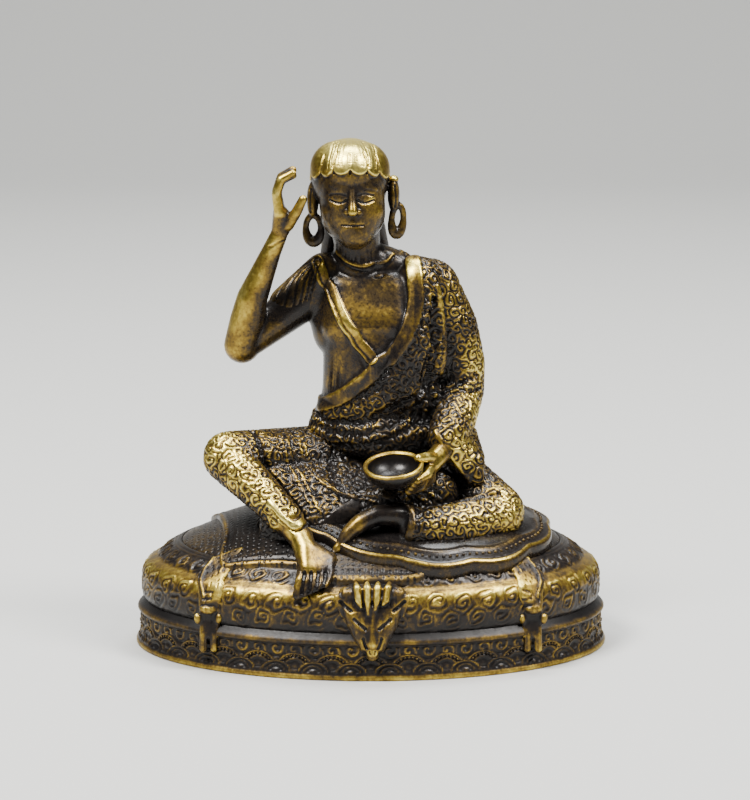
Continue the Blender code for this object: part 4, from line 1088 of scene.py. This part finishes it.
# The hand with the bowl
# The hand comes out of the sleeve and holds a shallow begging bowl, fingers under it and thumb on its rim.
# Both are cast in one with the sleeve. The rim is thin and rubbed bright, and the inside stays dark.
wax = Wax(seat_height)
wax.limb((6.9, -3.4, 8, 1.15), (6.1, -5.2, 7.4, 0.95), (5.2, -6.6, 6.8, 0.95))
for finger in range(4):
    lower = 0.36 * finger
    tip = (4.1 - 0.7 * lower, -9.5 + 0.5 * lower, 6.0 - lower, 0.35)
    wax.limb((5.3, -7, 6.7 - lower, 0.52), (5.0 - 0.5 * lower, -8.5, 6.3 - lower, 0.43), tip)
wax.limb((5.5, -6.4, 7.3, 0.62), (4.9, -7.6, 7.7, 0.48), (4.2, -8.4, 7.8, 0.38))
hand = Skin("bowl_hand", wax, 0.08, 6)
skin_brass = aged_brass("skin_brass", mottling=0.5, polish=0.03)
hand.finished(skin_brass, base=0.42, triangles=20000, rubbed=[(5.6, -7.4, 7.4, 2.6, 0.3)])
bowl_radius = 2.7
bowl_height = 1.9
bowl_wall = 0.4
wall_turns = np.radians(90 * np.arange(24) / 24)
outer_turns = wall_turns[:0:-1]
lip_turns = math.pi * np.arange(7) / 6
radii = np.concatenate([
    bowl_radius * np.cos(outer_turns) ** 0.8,
    bowl_radius - bowl_wall / 2 + bowl_wall / 2 * np.cos(lip_turns),
    (bowl_radius - bowl_wall) * np.cos(wall_turns) ** 0.8,
])[:, None]
heights = np.concatenate([
    -bowl_height * np.sin(outer_turns),
    bowl_wall * 0.35 * np.sin(lip_turns),
    (bowl_wall - bowl_height) * np.sin(wall_turns),
])[:, None]
turns = np.linspace(0, 2 * math.pi, 120, endpoint=False)
poles = (0, 0, -bowl_height), (0, 0, bowl_wall - bowl_height)
bowl_mesh = closed_skin("begging_bowl", radii * np.cos(turns), radii * np.sin(turns), heights, *poles)
flat_points = points_of(bowl_mesh)
flat_radius = np.hypot(flat_points[:, 0], flat_points[:, 1])
on_lip = flat_radius > bowl_radius - bowl_wall - 0.1
bowl_worn = 0.16 + 0.7 * ridge(flat_points[:, 2] - 0.05, 0.22) * on_lip
lean = Matrix.Rotation(math.radians(14), 4, "X") @ Matrix.Rotation(math.radians(-4), 4, "Y")
bowl_mesh.transform(Matrix.Translation((2, -8.5, 7.2 + seat_height)) @ lean)
cast(bowl_mesh, bowl_worn, aged_brass("bowl_brass", mottling=0.3))

# The raised arm
# The bare arm, lifted from the elbow with its hand cupped behind the ear. Cast in one with the shoulder,
# smooth, and rubbed bright down the outside of the forearm.
wax = Wax(seat_height)
wax.limb((-5.1, 1.6, 21.2, 2.2), (-8.2, 0.6, 18.9, 1.8), (-11.3, -0.4, 16.8, 1.6))
wax.limb(
    (-11.6, -0.5, 16.5, 1.65), (-11.1, -1, 18.8, 1.6), (-10.65, -1.5, 20.9, 1.4),
    (-9.8, -1.8, 23, 1.15), (-8.9, -2.2, 25.2, 0.9), (-8.2, -2.5, 26.8, 0.78),
)
wax.hull((-8.1, -2.5, 27, 0.75), (-8, -3.1, 29, 0.6), (-8.1, -1.6, 28.9, 0.6), (-7.3, -2.7, 28.2, 0.6))
for finger in range(4):
    away = 0.62 * finger
    drop = (0.25, 0, 0.15, 0.7)[finger]
    wax.limb(
        (-8.1, -3.3 + away, 28.9, 0.5),
        (-8.35, -3.4 + away, 30.8 - drop * 0.4, 0.44),
        (-7.95, -3.4 + away, 32.1 - drop * 0.7, 0.4),
        (-6.9, -3.3 + away, 32.75 - drop, 0.34),
    )
wax.limb((-7.4, -2.9, 27.8, 0.6), (-6.6, -3.4, 29, 0.48), (-6, -3.5, 30.2, 0.4))
arm = Skin("raised_arm", wax, fine_cell, 9)
arm.stroke(0.16, -0.05, (-9, -3, 25.8), (-8.2, -3.4, 26.2), (-7.4, -2.9, 26.4))
arm.settle()
arm.finished(
    aged_brass("arm_brass", mottling=0.6), base=0.32, triangles=52000,
    rubbed=[
        (-13.2, -1.6, 17.4, 3, 0.16), (-12.4, -2.2, 20.4, 3, 0.26), (-11.2, -2.8, 23.2, 2.6, 0.32),
        (-9.6, -3.2, 26, 2.2, 0.28), (-8.8, -3.4, 30.4, 2.4, 0.24), (-7, 0.4, 20, 4, -0.16),
    ],
)

# The head
# The head leans a little to one side. Its hair lies on it as a smooth cap with a scalloped edge and falls in
# locks down the back. Long looped ear lobes hang beside the face, which is calm, with lowered eyes.
wax = Wax(seat_height, ball_directions(5))
wax.hull(
    (-3, 0.2, 32.5, 2.2), (-0.7, 0.2, 32.4, 2.2), (-1.85, 1.6, 31.8, 3),
    (-1.85, 0.3, 31.4, 3.4), (-1.8, -1, 32.2, 2.5),
)
wax.hull((-1.8, -0.4, 31.2, 3), (-1.6, -0.6, 28.6, 2.9), (-1.4, -1.9, 27, 1.6), (-1.4, 0.6, 28, 2.4))
wax.directions = directions
wax.limb((-1.1, 1.6, 24.4, 2), (-1.4, 0.9, 27, 2.2))
face_x = -1.65
for side in (-1, 1):
    wax.measure_from(face_x, 0, seat_height, side)
    wax.ball((0.48 + 0.05 * side, -3.35, 29), (0.34, 0.4, 0.3))
    wax.ball((1.25, -2.5, 30.2), (0.8, 0.6, 0.46))
    wax.ball((1.5, -1.65, 28.8), (1.3, 1.1, 1.4))
    wax.limb((0.45, -3.12, 31, 0.16), (1.3, -2.92, 31.2, 0.16), (2.2, -2.3, 30.9, 0.12))
wax.measure_from(face_x, 0, seat_height)
wax.limb((0, -3.15, 30.9, 0.34), (0.02, -3.55, 29.9, 0.36), (0.05, -3.9, 29.15, 0.44))
wax.limb((-0.72, -2.95, 27.98, 0.2), (0.06, -3.32, 28.08, 0.27), (0.86, -2.95, 27.98, 0.2))
wax.limb((-0.52, -2.95, 27.58, 0.2), (0.06, -3.22, 27.52, 0.28), (0.66, -2.95, 27.58, 0.2))
wax.ball((0.1, -2.75, 26.5), (0.75, 0.6, 0.62))
wax.measure_from(0, 0, seat_height)
wax.ball((-5.2, 0.5, 29.6), (0.55, 1, 1.7), turn=(-8, 0, 0))
wax.ball((2.05, 0.6, 30), (0.55, 1, 1.6), turn=(-8, 0, 0))
wax.ring((-5.15, 0.3, 27), 0.7, 1.2, 0.3, heavy=0.22, turn=(0, 0, -12))
wax.ring((2.4, 0.4, 27.8), 0.55, 1.3, 0.3, heavy=0.2, turn=(0, 4, 14))
for lock, tip in zip(range(-2, 3), (0, 0.9, 0.3, 0.8, 0.2)):
    bend = 0.25 * abs(lock)
    wax.limb(
        (-1.7 + 0.7 * lock, 2.2 - bend, 31, 1.5), (-1.5 + 0.75 * lock, 3.3 - bend, 27.4, 1.2),
        (-1.4 + 1.15 * lock, 4.5 - bend, 23.8, 0.95), (-1.3 + 1.1 * lock, 5.3 - bend, 20.2 + tip, 0.45),
    )
wax.hull((-3.3, 2.5, 30.8, 2), (-0.4, 2.5, 30.8, 2), (-2.7, 3.3, 27.6, 1.4), (-0.7, 3.3, 27.6, 1.4))
head = Skin("head", wax, 0.085, 5)
cap = head.points - np.array([-1.8, 0.6, 31.36 + seat_height])
cap_turn = np.arctan2(cap[:, 0], -cap[:, 1])
lobe_count = 15
lobes = 0.46 * np.abs(np.sin(0.5 * lobe_count * cap_turn + 0.3 * np.sin(3 * cap_turn))) ** 0.8
cap_rise = eased(-0.12, 0.12, cap @ np.array([0, 0.28, 0.96]) + lobes - 0.3)
cap_rise *= eased(2.6, 0.8, cap[:, 1])
head.moved += 0.22 * cap_rise
head.bright += 0.3 * cap_rise
head.settle()
head.measure_from(-1.8, 0.6, seat_height + 32.4)
for notch in range(-2, 3):
    turn = 2 * math.pi * notch / lobe_count
    across, ahead = math.sin(turn), math.cos(turn)
    height = 1.5 + 0.4 * (notch % 2)
    upper_end = [(3.5 * across, -3.7 * ahead, 0.5 * height), (3.1 * across, -3.3 * ahead, height)]
    head.stroke(0.12, -0.13, (3.7 * across, -4.0 * ahead, 0), *upper_end)
head.measure_from(0, 0, seat_height)
for _ in range(22):
    across = rng.uniform(-4.6, 1)
    rise = rng.uniform(0.4, 1.4)
    upper_end = [(across * 0.95 - 0.1, -1.8, 33.4 + rise), (across * 0.8 - 0.4, -0.2, 34.4 + rise * 0.8)]
    head.stroke(0.09, -0.035, (across, -2.7, 32.9), *upper_end)
for lock in range(12):
    across = -5.2 + 0.66 * lock
    crown = 34.2 - 0.07 * (lock - 5.5) ** 2 - 0.3 * (lock % 2)
    upper_end = [(across * 0.6 - 0.6, 3.6, crown), (across * 0.8 - 0.3, 4.6, 0.5 * crown + 14.4)]
    lower_end = [(across * 0.85 - 0.1, 5.8, 24), (across * 0.75 - 0.1, 6.2, 20.6)]
    head.stroke(0.3, -0.24, *upper_end, (across * 0.85 - 0.3, 5.2, 28), *lower_end)
for side in (-1, 1):
    head.measure_from(face_x, 0, seat_height, side)
    head.stroke(0.16, -0.16, (0.5, -3.4, 30.08), (1.2, -3.3, 29.78), (2, -2.7, 30.02))
    head.stroke(0.16, -0.07, (0.6, -3.4, 30.52), (1.25, -3.3, 30.66), (2, -2.7, 30.44))
head.measure_from(face_x, 0, seat_height)
head.stroke(0.13, -0.14, (-0.85, -3.1, 27.8), (0.06, -3.5, 27.78), (0.98, -3.1, 27.8))
for ear_x, ear_z, side in ((-5.2, 29.6, -1), (2.05, 30, 1)):
    head.measure_from(ear_x, 0, ear_z + seat_height, side)
    head.stroke(0.2, -0.2, (0.3, -0.3, 1.1), (0.45, -0.5, 0), (0.3, -0.3, -1))
head.measure_from(0, 0, seat_height)
head.settle()
head.finished(
    aged_brass("head_brass", mottling=0.5), base=0.37, triangles=118000,
    rubbed=[
        (-1.8, -2, 34.6, 4, 0.26), (-1.8, 0.6, 35.6, 3.8, 0.2), (-1.3, 3.6, 26, 5, -0.14),
        (-1.6, -4, 29.2, 1, 0.16), (0.6, -2.8, 29.6, 1.8, 0.12), (-1.6, -3.4, 30.2, 1.6, -0.1),
    ],
    fine=0.16,
    broad=0.16,
)

# The floor, the lights and the camera
# A pale sweep under and behind the statue, soft studio lights from above, and the photograph's viewpoint.
floor_near, floor_far, floor_top, floor_half = -0.45, 0.3, 0.6, 0.9
sweep_radius = 0.18
sweep = [(floor_near, 0.0)]
for step in range(17):
    turn = math.radians(90 * step / 16)
    sweep.append((floor_far + sweep_radius * math.sin(turn), sweep_radius * (1 - math.cos(turn))))
sweep.append((floor_far + sweep_radius, floor_top))
floor_mesh = bpy.data.meshes.new("floor")
floor_mesh.from_pydata(
    [(x, y, z) for y, z in sweep for x in (-floor_half, floor_half)],
    [],
    [(2 * i, 2 * i + 1, 2 * i + 3, 2 * i + 2) for i in range(len(sweep) - 1)],
)
floor_mesh.shade_smooth()
floor = linked("floor", floor_mesh)
pale = bpy.data.materials.new("pale_paper")
pale.use_nodes = True
paper = pale.node_tree.nodes["Principled BSDF"].inputs
paper["Base Color"].default_value = (0.42, 0.42, 0.41, 1.0)
paper["Roughness"].default_value = 0.9
floor.data.materials.append(pale)

world = bpy.data.worlds.new("studio")
world.use_nodes = True
sky_light = world.node_tree.nodes["Background"].inputs
sky_light["Color"].default_value = (0.9, 0.95, 1.0, 1.0)
sky_light["Strength"].default_value = 0.1
bpy.context.scene.world = world


def softbox(name, place, target, size, power, colour):
    lamp = bpy.data.lights.new(name, "AREA")
    lamp.shape = "RECTANGLE"
    lamp.size, lamp.size_y = size
    lamp.energy = power
    lamp.color = colour
    thing = linked(name, lamp)
    thing.location = place
    thing.rotation_euler = (Vector(target) - Vector(place)).to_track_quat("-Z", "Y").to_euler()


aim = (0.0, 0.0, 0.02)
softbox("key_softbox", (-0.15, -0.12, 0.34), aim, (0.12, 0.12), 3.2, (1.0, 0.98, 0.94))
softbox("side_softbox", (0.19, -0.08, 0.3), aim, (0.09, 0.14), 2.1, (1.0, 0.98, 0.94))
softbox("top_softbox", (0.0, 0.1, 0.36), aim, (0.24, 0.12), 2.4, (0.96, 0.99, 1.0))

camera_height = math.radians(11.5)
camera_distance = 0.32
pixels_per_mm = 11.04
picture_side = 800
target = Vector((0.00038, 0.0, 0.02235))
camera = bpy.data.cameras.new("camera")
camera.sensor_width = 36.0
camera.lens = pixels_per_mm * camera_distance / MM / picture_side * camera.sensor_width
camera.clip_start = 0.01
camera.clip_end = 10.0
viewer = bpy.data.objects.new("camera", camera)
viewer.location = target + Vector((0.0, -math.cos(camera_height), math.sin(camera_height))) * camera_distance
viewer.rotation_euler = (math.radians(90) - camera_height, 0.0, 0.0)
bpy.context.scene.collection.objects.link(viewer)
bpy.context.scene.camera = viewer
